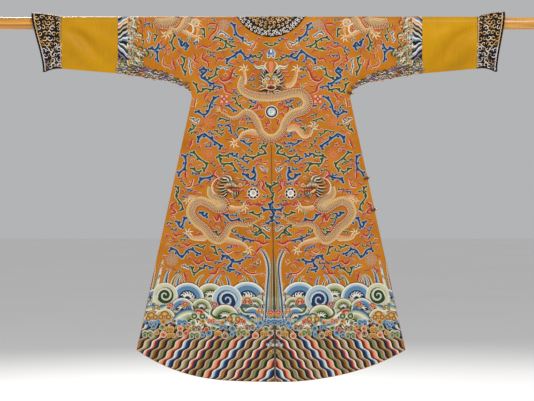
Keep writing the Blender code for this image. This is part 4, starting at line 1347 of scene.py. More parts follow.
# Clouds on the middle seam
MIDDLE_CLOUDS = (
    ("green", 0.80, ((-2.4, 64.8), (0.0, 66.0), (2.4, 64.8))),
    ("green", 0.70, ((0.0, 66.0), (-0.4, 68.2), (0.6, 69.8), (0.0, 71.4))),
    ("blue", 0.85, ((-4.0, 74.4), (0.0, 75.4), (4.0, 74.4))),
    ("blue", 0.95, ((0.2, 72.4), (-0.6, 75.0), (0.6, 77.4), (-0.4, 79.6))),
    ("blue", 0.70, ((-2.6, 80.4), (0.0, 79.4), (2.6, 80.4))),
)

# Red flames of one half: (family, size, points)
FLAMES = (
    ("red", 0.42, ((24.8, 3.8), (22.6, 2.8), (20.4, 4.0))),
    ("red", 0.42, ((24.4, 9.6), (22.8, 7.0), (21.2, 5.0), (20.8, 3.2))),
    ("red", 0.40, ((28.4, 13.0), (26.6, 11.6), (24.6, 12.2), (22.8, 11.4))),
    ("rose", 0.40, ((9.6, 13.0), (7.4, 12.6), (6.2, 11.0), (5.2, 10.4))),
    ("red", 0.46, ((30.4, 14.4), (29.4, 16.2), (29.8, 17.4), (28.0, 18.4))),
    ("red", 0.48, ((26.4, 14.0), (26.8, 16.2), (24.8, 17.8), (24.6, 20.0))),
    ("red", 0.42, ((21.4, 18.6), (20.2, 16.4), (18.6, 16.8), (17.4, 15.6))),
    ("rose", 0.46, ((41.6, 15.8), (42.0, 18.4), (39.8, 19.6), (38.8, 21.0))),
    ("red", 0.46, ((38.6, 16.6), (37.8, 18.6), (37.4, 21.0))),
    ("rose", 0.44, ((36.6, 16.4), (35.8, 17.4), (36.0, 19.4))),
    ("red", 0.60, ((20.6, 23.4), (19.0, 25.2), (16.4, 24.2), (14.8, 21.6), (13.6, 19.8))),
    ("red", 0.50, ((20.2, 25.6), (18.0, 27.4), (17.4, 29.4), (14.8, 30.4))),
    ("red", 0.44, ((25.8, 32.4), (25.2, 30.6), (24.0, 29.8))),
    ("rose", 0.50, ((29.6, 35.6), (29.8, 33.4), (28.6, 31.4))),
    ("red", 0.48, ((31.8, 51.6), (31.2, 49.4), (30.2, 47.6))),
    ("rose", 0.50, ((33.6, 66.6), (31.4, 65.8), (30.0, 63.0))),
    ("red", 0.46, ((32.6, 63.4), (33.4, 61.6), (32.6, 60.0))),
    ("red", 0.50, ((39.0, 77.2), (37.4, 76.2), (38.4, 74.4))),
    ("red", 0.50, ((37.4, 72.0), (38.8, 73.6), (39.4, 75.2))),
    ("red", 0.60, ((22.8, 77.6), (21.4, 79.4), (20.6, 77.4), (19.8, 80.2))),
    ("red", 0.55, ((21.6, 66.0), (20.8, 63.6), (22.4, 61.6), (21.2, 59.6))),
    ("rose", 0.46, ((3.6, 57.4), (2.4, 56.8), (1.4, 57.6))),
    ("red", 0.55, ((8.0, 87.8), (5.6, 87.6), (3.4, 88.6), (1.4, 87.8))),
    ("red", 0.50, ((6.6, 92.6), (5.8, 90.8), (4.2, 90.0))),
    ("rose", 0.50, ((18.6, 91.2), (17.0, 91.8), (15.0, 91.2))),
    ("red", 0.52, ((31.0, 94.8), (28.8, 96.2), (26.4, 95.2))),
    ("red", 0.50, ((26.4, 93.0), (25.0, 94.8), (22.8, 95.4))),
    ("red", 0.52, ((24.6, 100.4), (22.2, 99.8), (20.6, 97.6))),
    ("rose", 0.52, ((13.2, 97.0), (10.4, 99.2), (7.4, 100.2), (4.6, 99.8))),
    ("red", 0.50, ((34.4, 99.8), (33.6, 101.2), (33.6, 102.8))),
    ("rose", 0.46, ((6.8, 95.0), (5.6, 95.6), (4.8, 94.6))),
    ("red", 0.46, ((38.4, 84.6), (37.0, 85.4), (35.2, 84.8))),
    ("red", 0.46, ((34.6, 88.4), (32.6, 89.2), (31.0, 88.4))),
    ("red", 0.50, ((11.0, 66.2), (9.4, 64.6), (10.6, 63.0))),
    ("red", 0.48, ((4.6, 63.4), (3.2, 65.4), (3.8, 67.2), (2.0, 68.6))),
    ("red", 0.48, ((3.2, 72.6), (4.8, 73.6), (6.8, 72.4))),
    ("red", 0.42, ((9.8, 71.6), (8.4, 73.4), (6.6, 73.2))),
)

# Small emblems of one half: (kind, family, radius, out, depth)
EMBLEMS = (
    ("knot", "red", 2.1, 18.2, 32.2),
    ("medallion", "dusk", 2.2, 18.3, 3.4),
    ("medallion", "faded", 2.4, 24.4, 41.0),
    ("medallion", "faded", 2.4, 24.2, 53.6),
    ("medallion", "dusk", 2.4, 38.8, 94.8),
)

NECK_ROOM, BAND_ROOM = 0.006, 0.012  # kept round the neck band and along the overlap's band
BAND_FROM_X, BAND_DOWN_TO = -0.03, 0.42  # where the overlap's band is, on the flat cloth


def keep_clear(work, points):
    """Whether a motif stays off the neck band and, on the front, off the overlap's band."""
    place = flat(points)
    x, s = place[:, 0] * work.mirror, place[:, 1] * work.face
    if np.any(np.hypot(x, s - NECK_CENTRE) < NECK_BAND_RADIUS + NECK_ROOM):
        return False
    if work.face < 0:
        return True
    on_band = from_line(OVERLAP_LINE, x, s) < OVERLAP_BAND_WIDTH + BAND_ROOM
    return not np.any(on_band & (x > BAND_FROM_X) & (s < BAND_DOWN_TO))


def on_bare_cloth(out, depth):
    """Whether a wisp here is on the robe and clear of its edges and of the surf under the sleeve."""
    if out > WISP_OUTERMOST:
        return False
    if depth > SKIRT_FROM:
        return out * CM <= side_x(depth * CM) - WISP_EDGE_ROOM
    return depth <= SURF_FROM or out * CM <= ARMPIT_HALF_WIDTH


def field(work):
    for family, size, points in CLOUDS:
        if keep_clear(work, points):
            cloud(work, family, size, points)
    for family, size, points in FLAMES:
        if keep_clear(work, points):
            flame(work, family, size, points)
    for kind, family, radius, out, depth in EMBLEMS:
        if keep_clear(work, [(out, depth)]):
            (knot if kind == "knot" else medallion)(work, (out, depth), radius, family)


# What fills the gaps: (family, whether it is a flame)
WISPS = (
    ("red", True), ("green", False), ("rose", True), ("red", True), ("blue", False), ("faded", True),
    ("red", True), ("green", False), ("faded", True), ("rose", True), ("red", True), ("blue", False),
)
WISP_PITCH = 1.75  # centimetres between tries, out and down
WISP_ROOM = 0.0070  # metres from other stitching
WISP_START = (1.6, 1.8)  # the first try, out and down
WISPS_OUT, WISPS_DOWN = 54, 102  # centimetres that are tried
SLEEVE_TO = (28, 22)  # wisps further out and higher up than this stand upright, as on the sleeve
WISP_OUTERMOST = 52  # centimetres
WISP_EDGE_ROOM = 0.018  # metres from the side edge
SKIRT_FROM = 20  # centimetres down: below this the side edge is the limit
SURF_FROM = 15.5  # and above it, this is where the sleeve's surf begins


def wisps(work, others):
    """Small flames and clouds wherever the field is still bare."""
    dice = random.Random(31 + work.mirror)
    taken = np.vstack([points[::3, :2] for other in (work, *others) for points in other.points])
    taken = taken[taken[:, 1] * work.face >= 0] * (work.mirror, work.face)
    step = 0
    for row in range(int(WISPS_DOWN / WISP_PITCH)):
        for column in range(int(WISPS_OUT / WISP_PITCH)):
            out = WISP_START[0] + (column + 0.5 * (row % 2)) * WISP_PITCH + dice.uniform(-0.5, 0.5)
            depth = WISP_START[1] + row * WISP_PITCH + dice.uniform(-0.5, 0.5)
            on_sleeve = depth <= SLEEVE_TO[1] and out >= SLEEVE_TO[0]
            turn = math.radians(dice.uniform(-35, 35) + (70 if on_sleeve else 0))
            if not on_bare_cloth(out, depth):
                continue
            place = flat([(out, depth)])[0]
            if np.min(np.linalg.norm(taken - place, axis=1)) < WISP_ROOM:
                continue
            ahead = np.array([math.cos(turn), math.sin(turn)]) * dice.uniform(0.9, 1.25)
            aside = np.array([-ahead[1], ahead[0]]) * dice.choice((-0.5, 0.5))
            points = [(out, depth) - ahead, (out, depth) + aside, (out, depth) + ahead]
            if not keep_clear(work, points):
                continue
            family, flaming = WISPS[step % len(WISPS)]
            draw, size = (flame, 0.30) if flaming else (cloud, 0.46)
            draw(work, family, size, points)
            taken = np.vstack([taken, flat(points)])
            step += 1


# ---------------------------------------------------------------- the dragons


def face_on_head(work, out, depth, size):
    """A dragon's head seen from the front. Its features are its own plain shapes."""

    def at(across, down):
        return (out + across * size, depth + down * size)

    def spot(across, down, radii, threads, squash, sides):
        work.discs([at(across, down)], size, radii, threads, sides=sides, squash=squash)

    def strip(hand, points, width, threads, tips, scale=size, **more):
        points = [at(across * hand, down) for across, down in points]
        work.ribbon(points, [value * scale for value in width], threads, tips, **more)

    # the mane, horns, whiskers and beard
    for hand in (1, -1):
        for step, length in enumerate((1.3, 1.5, 1.5, 1.35, 1.1)):
            degrees = 12 + 11 * step
            row = (*at(0.95 * hand, 0.75 - 0.46 * step), degrees if hand > 0 else 180 - degrees)
            spikes(work, [(*row, length * size, 0.22 * size)], ("white", "black", "black", "slate"))
        strip(hand, ((0.9, -1.5), (1.3, -2.3), (2.1, -2.2), (2.8, -2.7)), (0.16, 0.24, 0.22, 0.10),
              ("white", "sage", "slate", "white"), (0.1, 0.3))
        strip(hand, ((0.4, 1.45), (1.0, 1.25), (1.7, 1.45), (2.2, 1.15)), (0.22, 0.22, 0.13, 0.05),
              ("black", "black", "sage"), (0.1, 0.4))
        beard = (*at(0.35 * hand, 1.3), -90 + 22 * hand, 0.9 * size, 0.18 * size)
        spikes(work, [beard], ("sage", "pine", "black"))
    # the brow's plate, then skull and snout, and on them brows, eyes, ears, cheeks, nose and mouth
    with work.raised():
        strip(1, ((0, -3.2), (0, -2.6), (0, -2.0), (0, -1.2)), (0.62, 1.12, 0.86, 0.12),
              ("cream", "ochre", "salmon", "ochre", "cream"), (0.1, 0.1),
              edges=(-1, -0.8, -0.35, 0.35, 0.8, 1))
        for hand in (1, -1):
            strip(hand, ((0.28, -1.1), (0.66, -1.5), (1.1, -2.0)), (0.1, 0.2, 0.08),
                  ("black", "black"), (0.2, 0.3))
        spot(0, -0.35, (1.20, 1.08, 0.80, 0.40), ("umber", "straw", "gold", "ochre"), 0.98, 20)
        spot(0, 0.55, (0.92, 0.80, 0.5), ("umber", "straw", "gold"), 1.1, 18)
        with work.raised(FEATURE_LIFT):
            for hand in (1, -1):
                strip(hand, ((0.10, -0.66), (0.5, -0.98), (1.08, -0.72)), (0.22, 0.42, 0.14),
                      ("pine", "moss", "sage"), (0.2, 0.4), scale=1)
                spot(0.50 * hand, -0.40, (0.38, 0.29, 0.15), ("black", "white", "black"), 0.78, 10)
                spot(1.15 * hand, 0.0, (0.30, 0.18), ("cream", "ochre"), 1.3, 8)
                strip(hand, ((0.30, 0.05), (0.80, 0.25), (1.0, 0.75)), (0.10, 0.16, 0.08),
                      ("umber", "cream"), (0.2, 0.3), scale=1)
                spot(0.30 * hand, 0.30, (0.24, 0.12), ("salmon", "brown"), 0.8, 8)
            spot(0, 0.18, (0.36, 0.24), ("umber", "salmon"), 0.9, 10)
            spot(0, 0.92, (0.84, 0.68, 0.46), ("cream", "crimson", "brown"), 0.56, 16)
            with work.raised():
                teeth = [at(0.3 * hand, 0.68) for hand in (-1.7, -0.6, 0.6, 1.7)]
                work.petals(flat(teeth), [(0, 1)] * 4, TOOTH, ("white", "white"))
            for hand in (1, -1):
                strip(hand, ((0.7, 0.5), (1.5, 0.62), (2.2, 1.15), (2.9, 0.9)), (0.16, 0.16, 0.12, 0.04),
                      ("cream", "gold"), (0.1, 0.5), scale=1)


def side_head(work, out, depth, size):
    """A dragon's head seen from the side, facing the middle seam."""

    def at(ahead, down):
        return (out - ahead * size, depth + down * size)

    def strip(points, width, threads, tips, scale=1):
        work.ribbon([at(*point) for point in points], [value * scale for value in width], threads, tips)

    # the mane behind with its pale edge, the horns, the beard and the jaws
    shades = (("white", "black", "black"), ("sage", "pine", "black"), ("straw", "brown", "black"))
    for step, length in enumerate((1.5, 2.0, 2.3, 2.4, 2.3, 2.0, 1.6)):
        lock = (*at(-0.4, -1.20 + step * 0.44), 24 - step * 8, length * size, 0.22 * size)
        spikes(work, [lock], shades[step % 3])
    strip(((-1.4, -1.6), (-2.5, -1.2), (-3.2, -0.2), (-3.1, 0.9), (-2.4, 1.7)),
          (0.10, 0.18, 0.22, 0.22, 0.12), ("white", "cream"), (0.2, 0.2))
    for root, rise in ((-0.1, 0.0), (0.5, 0.35)):
        strip(((root, -0.8), (root - 0.4, -1.4 - rise), (root - 1.5, -1.6 - rise)), (0.22, 0.18, 0.06),
              ("pine", "white", "sage"), (0.1, 0.4), size)
    with work.raised():
        for step in range(4):
            beard = (*at(0.2 + 0.45 * step, 1.1), 250 + 14 * step, (1.5 - 0.2 * step) * size, 0.20 * size)
            spikes(work, [beard], ("sage", "black", "black"))
        strip(((-0.5, 0.7), (0.3, 1.25), (1.1, 1.45)), (0.55, 0.60, 0.35), ("umber", "straw", "cream"),
              (0.1, 0.2))
        strip(((0.0, 0.45), (0.9, 0.80), (1.7, 0.95)), (0.50, 0.55, 0.25), ("vermilion", "crimson", "brown"),
              (0.1, 0.3))
        strip(((-1.0, -0.1), (-0.2, -0.2), (0.6, -0.25), (1.2, 0.0), (2.0, 0.1)),
              (0.70, 1.25, 1.10, 0.80, 0.72), ("umber", "gold", "cream", "beige", "umber"), (0.2, 0.15))
        # the wrinkles of the snout and cheek, then nose, eye, brow, cheek, teeth and whisker
        with work.raised(0.0010):
            for ahead, reach in ((1.20, 0.42), (1.52, 0.40), (0.15, 0.70), (-0.25, 0.66)):
                strip(((ahead, -reach), (ahead + 0.16, 0), (ahead, reach)), (0.04, 0.13, 0.04),
                      ("brown", "umber"), (0.2, 0.2))
            work.discs([at(1.95, -0.12)], size, (0.36, 0.24, 0.10), ("cream", "salmon", "brown"), sides=10)
            names = ("black", "white", "black")
            work.discs([at(0.62, -0.30)], size, (0.34, 0.25, 0.13), names, squash=0.85, sides=10)
            strip(((1.2, -0.50), (0.6, -0.86), (-0.5, -0.72)), (0.10, 0.36, 0.14), ("pine", "black", "sage"),
                  (0.2, 0.4))
            strip(((-0.9, 0.50), (-0.5, 0.10), (-0.9, -0.30)), (0.10, 0.26, 0.10), ("vermilion", "salmon"),
                  (0.2, 0.2))
            teeth = flat([at(0.6, 0.56), at(1.0, 0.60), at(1.4, 0.64)])
            work.petals(teeth, [(0, 1)] * 3, TOOTH, ("white", "white"))
            strip(((1.9, 0.2), (2.7, -0.3), (3.0, -1.1)), (0.12, 0.12, 0.05), ("cream", "gold"), (0.1, 0.5))


def main_dragon(work):
    """The front-facing dragon, curled round its pearl. Its tail is to -X on the back."""
    upper_right = [(5.6, 27.4), (8.2, 26.2), (9.6, 23.6), (9.9, 20.8)]
    leg(work, upper_right, [1.2, 1.0, 0.7, 0.45], 2.2, 84, (11.6, 28.6, 62))
    leg(work, [(-10.8, 26.6), (-10.2, 24.2), (-10.6, 20.6)], [1.2, 0.8, 0.45], 2.2, 96)
    leg(work, [(-3.6, 46.2), (-7.6, 45.0), (-10.8, 45.6), (-12.4, 47.6), (-14.2, 49.4)],
        [1.5, 1.2, 0.8, 0.6, 0.4], 2.4, 215, (-8.6, 47.4, 205))
    leg(work, [(5.0, 44.2), (9.6, 43.2), (12.6, 46.6), (15.2, 46.0), (16.4, 43.0)],
        [1.5, 1.3, 0.9, 0.6, 0.4], 2.4, 70, (13.2, 44.2, 80))
    points = [
        (-10.8, 23.4), (-11.6, 27.4), (-8.8, 30.0), (-3.6, 31.2), (2.6, 31.0), (8.6, 29.6), (12.4, 30.0),
        (14.6, 33.4), (13.0, 36.6), (8.6, 38.2), (5.8, 41.2), (4.6, 44.6), (1.8, 47.2), (-1.4, 47.4),
        (-4.2, 45.2), (-5.6, 41.4), (-7.6, 38.2), (-10.0, 37.4), (-12.6, 39.2), (-15.4, 39.8), (-18.2, 38.2),
        (-20.2, 37.0),
    ]
    width = [
        1.0, 1.5, 1.7, 1.8, 1.8, 1.8, 1.9, 2.0, 1.95, 1.8, 1.7, 1.65, 1.6, 1.6, 1.6, 1.5, 1.35, 1.2, 1.0, 0.8,
        0.5, 0.25,
    ]
    with work.raised(BODY_LIFT):
        body(work, points, width, 1)
        for degrees, length in ((118, 3.2), (138, 3.6), (160, 3.4), (182, 2.6)):
            spikes(work, [(-19.6, 37.2, degrees, length, 0.26)], ("cream", "straw", "salmon"))
        with work.raised(0.0026):
            face_on_head(work, 0.0, 25.4, 2.45)
    for start, end in (((-5.0, 34.2), (-7.6, 36.8)), ((5.2, 34.4), (6.6, 37.2))):
        middle = ((start[0] + end[0]) / 2 + 0.8, (start[1] + end[1]) / 2)
        flame(work, "red", 0.5, [start, middle, end])


def pearl_flames(work, centre, radius, turns, size=0.42):
    """Tongues of flame round a pearl."""
    for degrees in turns:
        ahead = heading(degrees)
        side = np.array([ahead[1], -ahead[0]])
        start = np.array(centre) + ahead * radius * 1.55
        steps = ((0, 0), (0.9, 0.7), (1.9, -0.2), (2.6, 0.6))
        flame(work, "red", size, [start + ahead * forth + side * aside for forth, aside in steps])


def side_dragon(work):
    """A running dragon, drawn on the half with out above 0 and facing the middle."""
    leg(work, [(28.6, 71.0), (31.6, 70.2), (32.8, 71.4)], [1.1, 0.8, 0.45], 2.0, -120)
    leg(work, [(19.0, 73.4), (14.8, 74.8), (11.0, 74.4)], [1.3, 1.0, 0.5], 2.2, 200, (12.4, 75.6, -60))
    leg(work, [(22.4, 86.4), (16.8, 87.2), (11.6, 88.6), (9.6, 91.0)], [1.4, 1.2, 0.8, 0.4], 2.2, 235)
    leg(work, [(25.2, 86.2), (29.0, 86.4), (31.4, 86.0), (32.4, 84.4)], [1.4, 1.0, 0.7, 0.4], 2.2, 110)
    points = [
        (23.4, 66.2), (23.2, 69.4), (19.6, 71.4), (17.8, 73.8), (20.8, 75.2), (24.4, 73.2), (27.6, 72.0),
        (30.2, 73.4), (31.2, 76.4), (29.4, 79.6), (26.0, 82.4), (23.6, 85.6), (20.6, 87.0), (18.2, 84.6),
        (16.6, 81.6), (13.6, 80.6), (10.2, 81.2), (6.8, 79.8), (4.0, 78.2),
    ]
    width = [
        1.2, 1.7, 1.9, 1.9, 1.8, 1.75, 1.8, 1.85, 1.85, 1.8, 1.8, 1.75, 1.7, 1.5, 1.3, 1.1, 0.85, 0.55, 0.2,
    ]
    with work.raised(BODY_LIFT):
        body(work, points, width, -1)
        with work.raised(0.0028):
            side_head(work, 16.3, 66.0, 2.1)
    for degrees, length in ((150, 2.2), (172, 2.6), (195, 2.2)):
        spikes(work, [(4.8, 78.6, degrees, length, 0.22)], ("cream", "straw"))


def shoulder_dragon(work):
    """The dragon on the shoulder, of which the back shows the lower half."""
    leg(work, [(38.2, 4.4), (39.6, 6.2), (40.8, 7.0)], [1.2, 0.9, 0.5], 2.3, -80)
    leg(work, [(34.6, 5.6), (31.0, 7.6), (28.8, 8.4)], [1.1, 0.8, 0.45], 2.1, 200, (31.4, 8.0, -70))
    points = [(45.4, 1.6), (42.8, 3.0), (40.0, 3.0), (37.6, 2.0), (36.6, 0.2)]
    body(work, points, [0.9, 2.3, 2.6, 2.3, 1.9], 1)
    points = [(38.8, 5.2), (36.4, 6.0), (34.2, 4.6), (32.6, 2.2), (31.2, 0.3)]
    body(work, points, [0.6, 1.3, 1.7, 1.9, 1.9], 1)
    for turn, length in enumerate((2.4, 3.0, 3.2, 3.0, 2.4)):
        lock = (28.8, 2.0 + turn * 0.7, 190 + 22 * turn, length, 0.3)
        spikes(work, [lock], ("cream", "straw", "salmon"))
    with work.raised(0.0016):
        points = [(32.8, 2.6), (30.4, 3.6), (30.2, 6.2), (32.6, 8.0)]
        work.ribbon(points, [0.3, 0.46, 0.46, 0.2], ("white", "cream", "gold"), (0.2, 0.3))
        work.discs([(29.4, 2.6)], 1, (1.7, 1.3, 0.7), ("cream", "beige", "straw"), sides=14)
        work.discs([(30.0, 2.4), (28.9, 3.2)], 1, (0.5, 0.28), ("white", "navy"), sides=10)
    spikes(work, [(45.6, 4.8, 88, 2.4, 0.34), (46.6, 4.6, 80, 2.2, 0.34)], ("sage", "pine", "black"))
    for out, depth, degrees in ((43.8, 5.6, 250), (44.8, 5.2, 275), (35.2, 8.6, 260)):
        spikes(work, [(out, depth, degrees, 2.0, 0.26)], ("sage", "pine", "slate"))


# ---------------------------------------------------------------- waves, rocks and slanting stripes

STRIPE_TOP = 1.200  # depth where the stripes come out from under the waves
STRIPE_SLOPE = math.radians(50)
STRIPE_SWAY = 0.0042
STRIPE_SWAY_LENGTH = 0.050
STRIPE_ROWS = 44
STRIPE_RUN, STRIPE_STEP = 0.46, 0.0012  # how far a stripe is followed, and how finely
STRIPE_SLIT_ROOM = 0.0034
HEM_ROOM = 0.0012
LEAST_STRIPE = 8  # steps
STRIPE_FAMILIES = (
    ("black", "brown", "ochre", "tan", "pale"),
    ("black", "navy", "blue", "sky", "white"),
    ("brown", "crimson", "salmon", "pink", "cream"),
    ("black", "pine", "moss", "tan", "beige"),
    ("black", "brown", "umber", "ochre", "celadon"),
    ("black", "navy", "crimson", "salmon", "white"),
    ("black", "umber", "moss", "beige", "pale"),
)
STRIPE_WIDTHS = (0.0052, 0.0042, 0.0044, 0.0044, 0.0044)


def stripe_paths(work, starts):
    """Wavy slanting lines, each cut off at the middle slit and at the hem or side edge."""
    run = np.arange(0.0, STRIPE_RUN, STRIPE_STEP)
    sway = STRIPE_SWAY * np.sin(2 * math.pi * run / STRIPE_SWAY_LENGTH)
    cos, sin = math.cos(STRIPE_SLOPE), math.sin(STRIPE_SLOPE)
    paths = []
    for start in starts:
        out = start + run * cos - sway * sin
        depth = STRIPE_TOP + run * sin + sway * cos
        hem = hem_depth(work.mirror, np.clip(out / side_x(depth), 0, 1)) - HEM_ROOM
        inside = (out > SLIT_ROOM + STRIPE_SLIT_ROOM) & (depth < hem) & (out < side_x(depth) - HEM_ROOM)
        marks = np.flatnonzero(inside)
        if len(marks) < LEAST_STRIPE:
            return None
        pick = np.linspace(marks[0], marks[-1], STRIPE_ROWS)
        paths.append(at_marks(pick, np.arange(len(run)), np.stack([out, depth], axis=1)))
    return np.stack(paths, axis=1)


def stripes(work):
    """The slanting sea at the hem: wavy stripes shaded from dark to pale."""
    start = -(ROBE_LENGTH - STRIPE_TOP) / math.tan(STRIPE_SLOPE)
    group = 0
    while start < HEM_HALF_WIDTH:
        for name, width in zip(STRIPE_FAMILIES[group % len(STRIPE_FAMILIES)], STRIPE_WIDTHS):
            wide = width / math.sin(STRIPE_SLOPE)
            grid = stripe_paths(work, (start, start + wide / 2, start + wide))
            if grid is not None:
                down = flat_from_depth(grid[..., 1])
                work.patch(grid[..., 0], down, np.array([LOW, LOW + CROWN, LOW]), (name, name))
            start += wide
        group += 1


def painted_slit_shade(work):
    """A line of black thread down the seam that widens at the slit: painted shade of the seam's gap and of
    the slit's opening.
    """
    depth = np.linspace(SEAM_SHADE_TOP, ROBE_LENGTH - 0.002, 90)
    narrow, wider = SEAM_SHADE_HALF
    half = narrow + wider * smooth(depth, *SEAM_SHADE_WIDENS)
    line = np.stack([SLIT_ROOM + half, flat_from_depth(depth)], axis=1)
    with work.raised():
        # black thread as painted shade of the seam's gap and the slit's opening
        work.band(line, half, (-1, -0.7, 0.7, 1), ("black", "black", "black"))


# Waves of one half, from the deepest layer up:
# (kind, family, out, depth, radius, a hump's first turn or a spiral's hand, a hump's last turn)
WAVES = (
    ("hump", "blue", 10.2, 110.6, 7.4, 152, 40),
    ("hump", "green", 24.2, 109.4, 5.6, 172, 8),
    ("hump", "blue", 32.9, 110.0, 6.4, 176, 4),
    ("hump", "blue", 45.4, 110.4, 4.2, 160, 20),
    ("spiral", "blue", 18.0, 110.3, 5.3, 1, 0),
    ("spiral", "green", 41.4, 108.6, 4.5, -1, 0),
    ("hump", "green", 27.6, 113.6, 3.8, 178, 2),
    ("hump", "green", 7.4, 112.6, 3.4, 170, 10),
    ("hump", "blue", 34.9, 114.4, 4.8, 178, 2),
    ("hump", "green", 18.8, 117.6, 5.4, 165, 15),
    ("hump", "blue", 8.4, 117.4, 4.2, 170, 10),
    ("hump", "green", 41.6, 117.6, 4.0, 170, 10),
    ("hump", "green", 30.2, 121.4, 7.6, 168, 12),
    ("hump", "green", 13.0, 121.6, 5.2, 165, 15),
    ("hump", "blue", 46.4, 120.0, 4.2, 170, 10),
)

# Cloud heads and rocks among the waves: (family, family of the curls, out, depth, size, tilt)
HEADS = (
    ("red", "green", 28.8, 116.2, 2.3, 0),
    ("green", "gold", 15.4, 117.4, 2.2, 0),
    ("gold", "gold", 41.6, 116.6, 2.1, 0),
    ("gold", "gold", 46.6, 117.0, 2.0, 10),
    ("gold", "red", 10.2, 110.8, 1.5, 0),
    ("red", "grey", 23.0, 112.2, 1.3, -60),
    ("red", "gold", 33.6, 112.2, 1.3, 30),
    ("blue", "white", 48.4, 111.8, 1.4, 0),
    ("red", "rose", 39.4, 112.6, 1.2, -30),
    ("green", "gold", 44.8, 113.4, 1.3, 0),
    ("rose", "gold", 5.4, 114.8, 1.2, 0),
)

# Sprays above the waves: (family, out, depth of its root, height, lean)
SPRAYS = (
    ("blue", 6.6, 104.4, 3.6, 0.7),
    ("green", 9.6, 104.0, 3.2, 0.9),
    ("green", 13.4, 105.2, 3.0, -0.7),
    ("blue", 16.8, 104.8, 4.0, 0.5),
    ("green", 19.4, 104.8, 3.0, 0.9),
    ("blue", 22.6, 105.0, 4.6, -0.7),
    ("blue", 26.2, 105.2, 4.4, -0.9),
    ("green", 29.6, 104.8, 4.4, -0.8),
    ("green", 33.8, 104.6, 3.4, 0.8),
    ("blue", 37.0, 104.8, 4.4, -0.5),
    ("green", 39.0, 104.6, 4.4, -0.8),
    ("blue", 41.4, 103.6, 5.4, -0.5),
)

# The dark line down the middle seam is painted shade: black thread where the seam's gap and the slit's
# opening are dark
SEAM_SHADE_TOP = 0.50  # depth where the dark line down the middle seam begins
SEAM_SHADE_HALF = (0.0005, 0.0012)  # its half width, and what is added at the slit
SEAM_SHADE_WIDENS = (0.86, 1.10)  # between these depths
SEA_BED_HEIGHT = 0.00015
WAVE_LAYER = LAYER * 0.75
CURL_LAYER = LAYER * 0.6

# Rows of small curls where the stripes start: (depth, radius, pitch), and families in turn
CURL_ROWS = ((118.9, 1.22, 3.7), (121.3, 1.14, 3.3), (123.7, 1.14, 2.9))
CURL_FAMILIES = (
    "blue", "gold", "grey", "red", "green", "blue", "rose", "gold", "grey", "blue", "green", "gold",
)

# Flutes of the middle rock's shaft: (out, depth of its top, half width, threads)
FLUTES = (
    (0.62, 93.0, 0.26, ("pine", "celadon")),
    (1.20, 97.0, 0.24, ("umber", "straw")),
    (1.72, 103.0, 0.24, ("navy", "sky")),
    (4.30, 106.0, 0.30, ("navy", "azure")),
    (4.95, 108.0, 0.26, ("leaf", "sage")),
    (5.55, 110.0, 0.24, ("umber", "cream")),
    (6.10, 112.0, 0.22, ("slate", "white")),
)


def sea_bed(work):
    """Solid stitching behind the waves, in still water's greens and greys."""
    names = ("sage", "celadon", "slate", "sage", "moss", "pale", "slate", "celadon")
    rows = 64
    shares = np.linspace(0.004, 0.995, rows)
    depths = np.linspace(1.090, 1.226, len(names) + 1)
    out = np.stack([shares * side_x(depth) for depth in depths], axis=1)
    swell = 0.006 * np.sin(np.linspace(0, 15 * math.pi, rows))[:, None]
    work.patch(np.maximum(out, 0.0022), flat_from_depth(depths + swell), SEA_BED_HEIGHT, names)


def waves(work):
    """The rolling sea, from its bed up: each wave lies on the last."""
    sea_bed(work)
    start = work.lift
    for kind, family, out, depth, radius, first, last in WAVES:
        work.lift += WAVE_LAYER
        if kind == "hump":
            wave_hump(work, (out, depth), radius, family, (first, last))
        else:
            wave_spiral(work, (out, depth), radius, family, first)
    with work.raised():
        swells(work)
        for family, under, out, depth, size, tilt in HEADS:
            scroll_head(work, (out, depth), size, family, tilt, under)
        small_curls(work)
    work.lift = start


def swells(work):
    """Long pale swells that rise and fall between the curls."""
    for points in (
        [(38.6, 118.6), (35.6, 115.8), (31.8, 114.8), (27.6, 116.6), (24.2, 119.6), (20.6, 120.8)],
        [(19.6, 120.4), (16.4, 117.6), (12.8, 116.8), (9.8, 118.6), (6.4, 120.6)],
        [(49.6, 114.4), (46.6, 113.2), (43.6, 113.8), (40.8, 112.6)],
    ):
        work.ribbon(points, 1.15, ("white", "sage", "celadon", "azure", "blue"), (0.2, 0.2), 6)
    for points in (
        [(23.2, 113.0), (24.2, 115.8), (21.8, 117.8), (19.0, 117.6)],
        [(13.2, 112.8), (11.8, 115.2), (9.2, 115.6)],
        [(31.0, 112.4), (30.6, 114.6), (31.6, 116.6)],
    ):
        work.ribbon(points, 0.62, ("white", "celadon", "leaf", "pine"), (0.2, 0.3))


def comma(work, centre, radius, family, start, hand):
    """A round curl: a pale rim, a coloured ring and a dark heart, with a pale spiral over them."""
    rim, middle, heart = FAMILY[family]
    work.discs([centre], radius, (1.0, 0.78, 0.40), (rim, middle, heart))
    with work.raised(CURL_LAYER):
        work.spiral(centre, radius * 0.48, hand * 1.0, radius * 0.17, (rim, rim), start, 0.12)


def twin_head(work, centre, radius, family):
    """A cloud head of two curls that meet under a humped cap."""
    out, depth = centre
    hump = ((1.5, 0), (0.8, 0.7), (0, 0.35))
    cap = [(out - radius * across, depth - radius * up) for across, up in hump]
    cap += [(2 * out - across, down) for across, down in cap[1::-1]]
    work.ribbon(cap, radius * 0.52, FAMILY[family], (0.15, 0.15), 4)
    with work.raised(CURL_LAYER):
        for hand in (1, -1):
            place = (out + hand * radius * 0.85, depth + radius * 0.35)
            comma(work, place, radius * 0.75, family, 90, -hand)


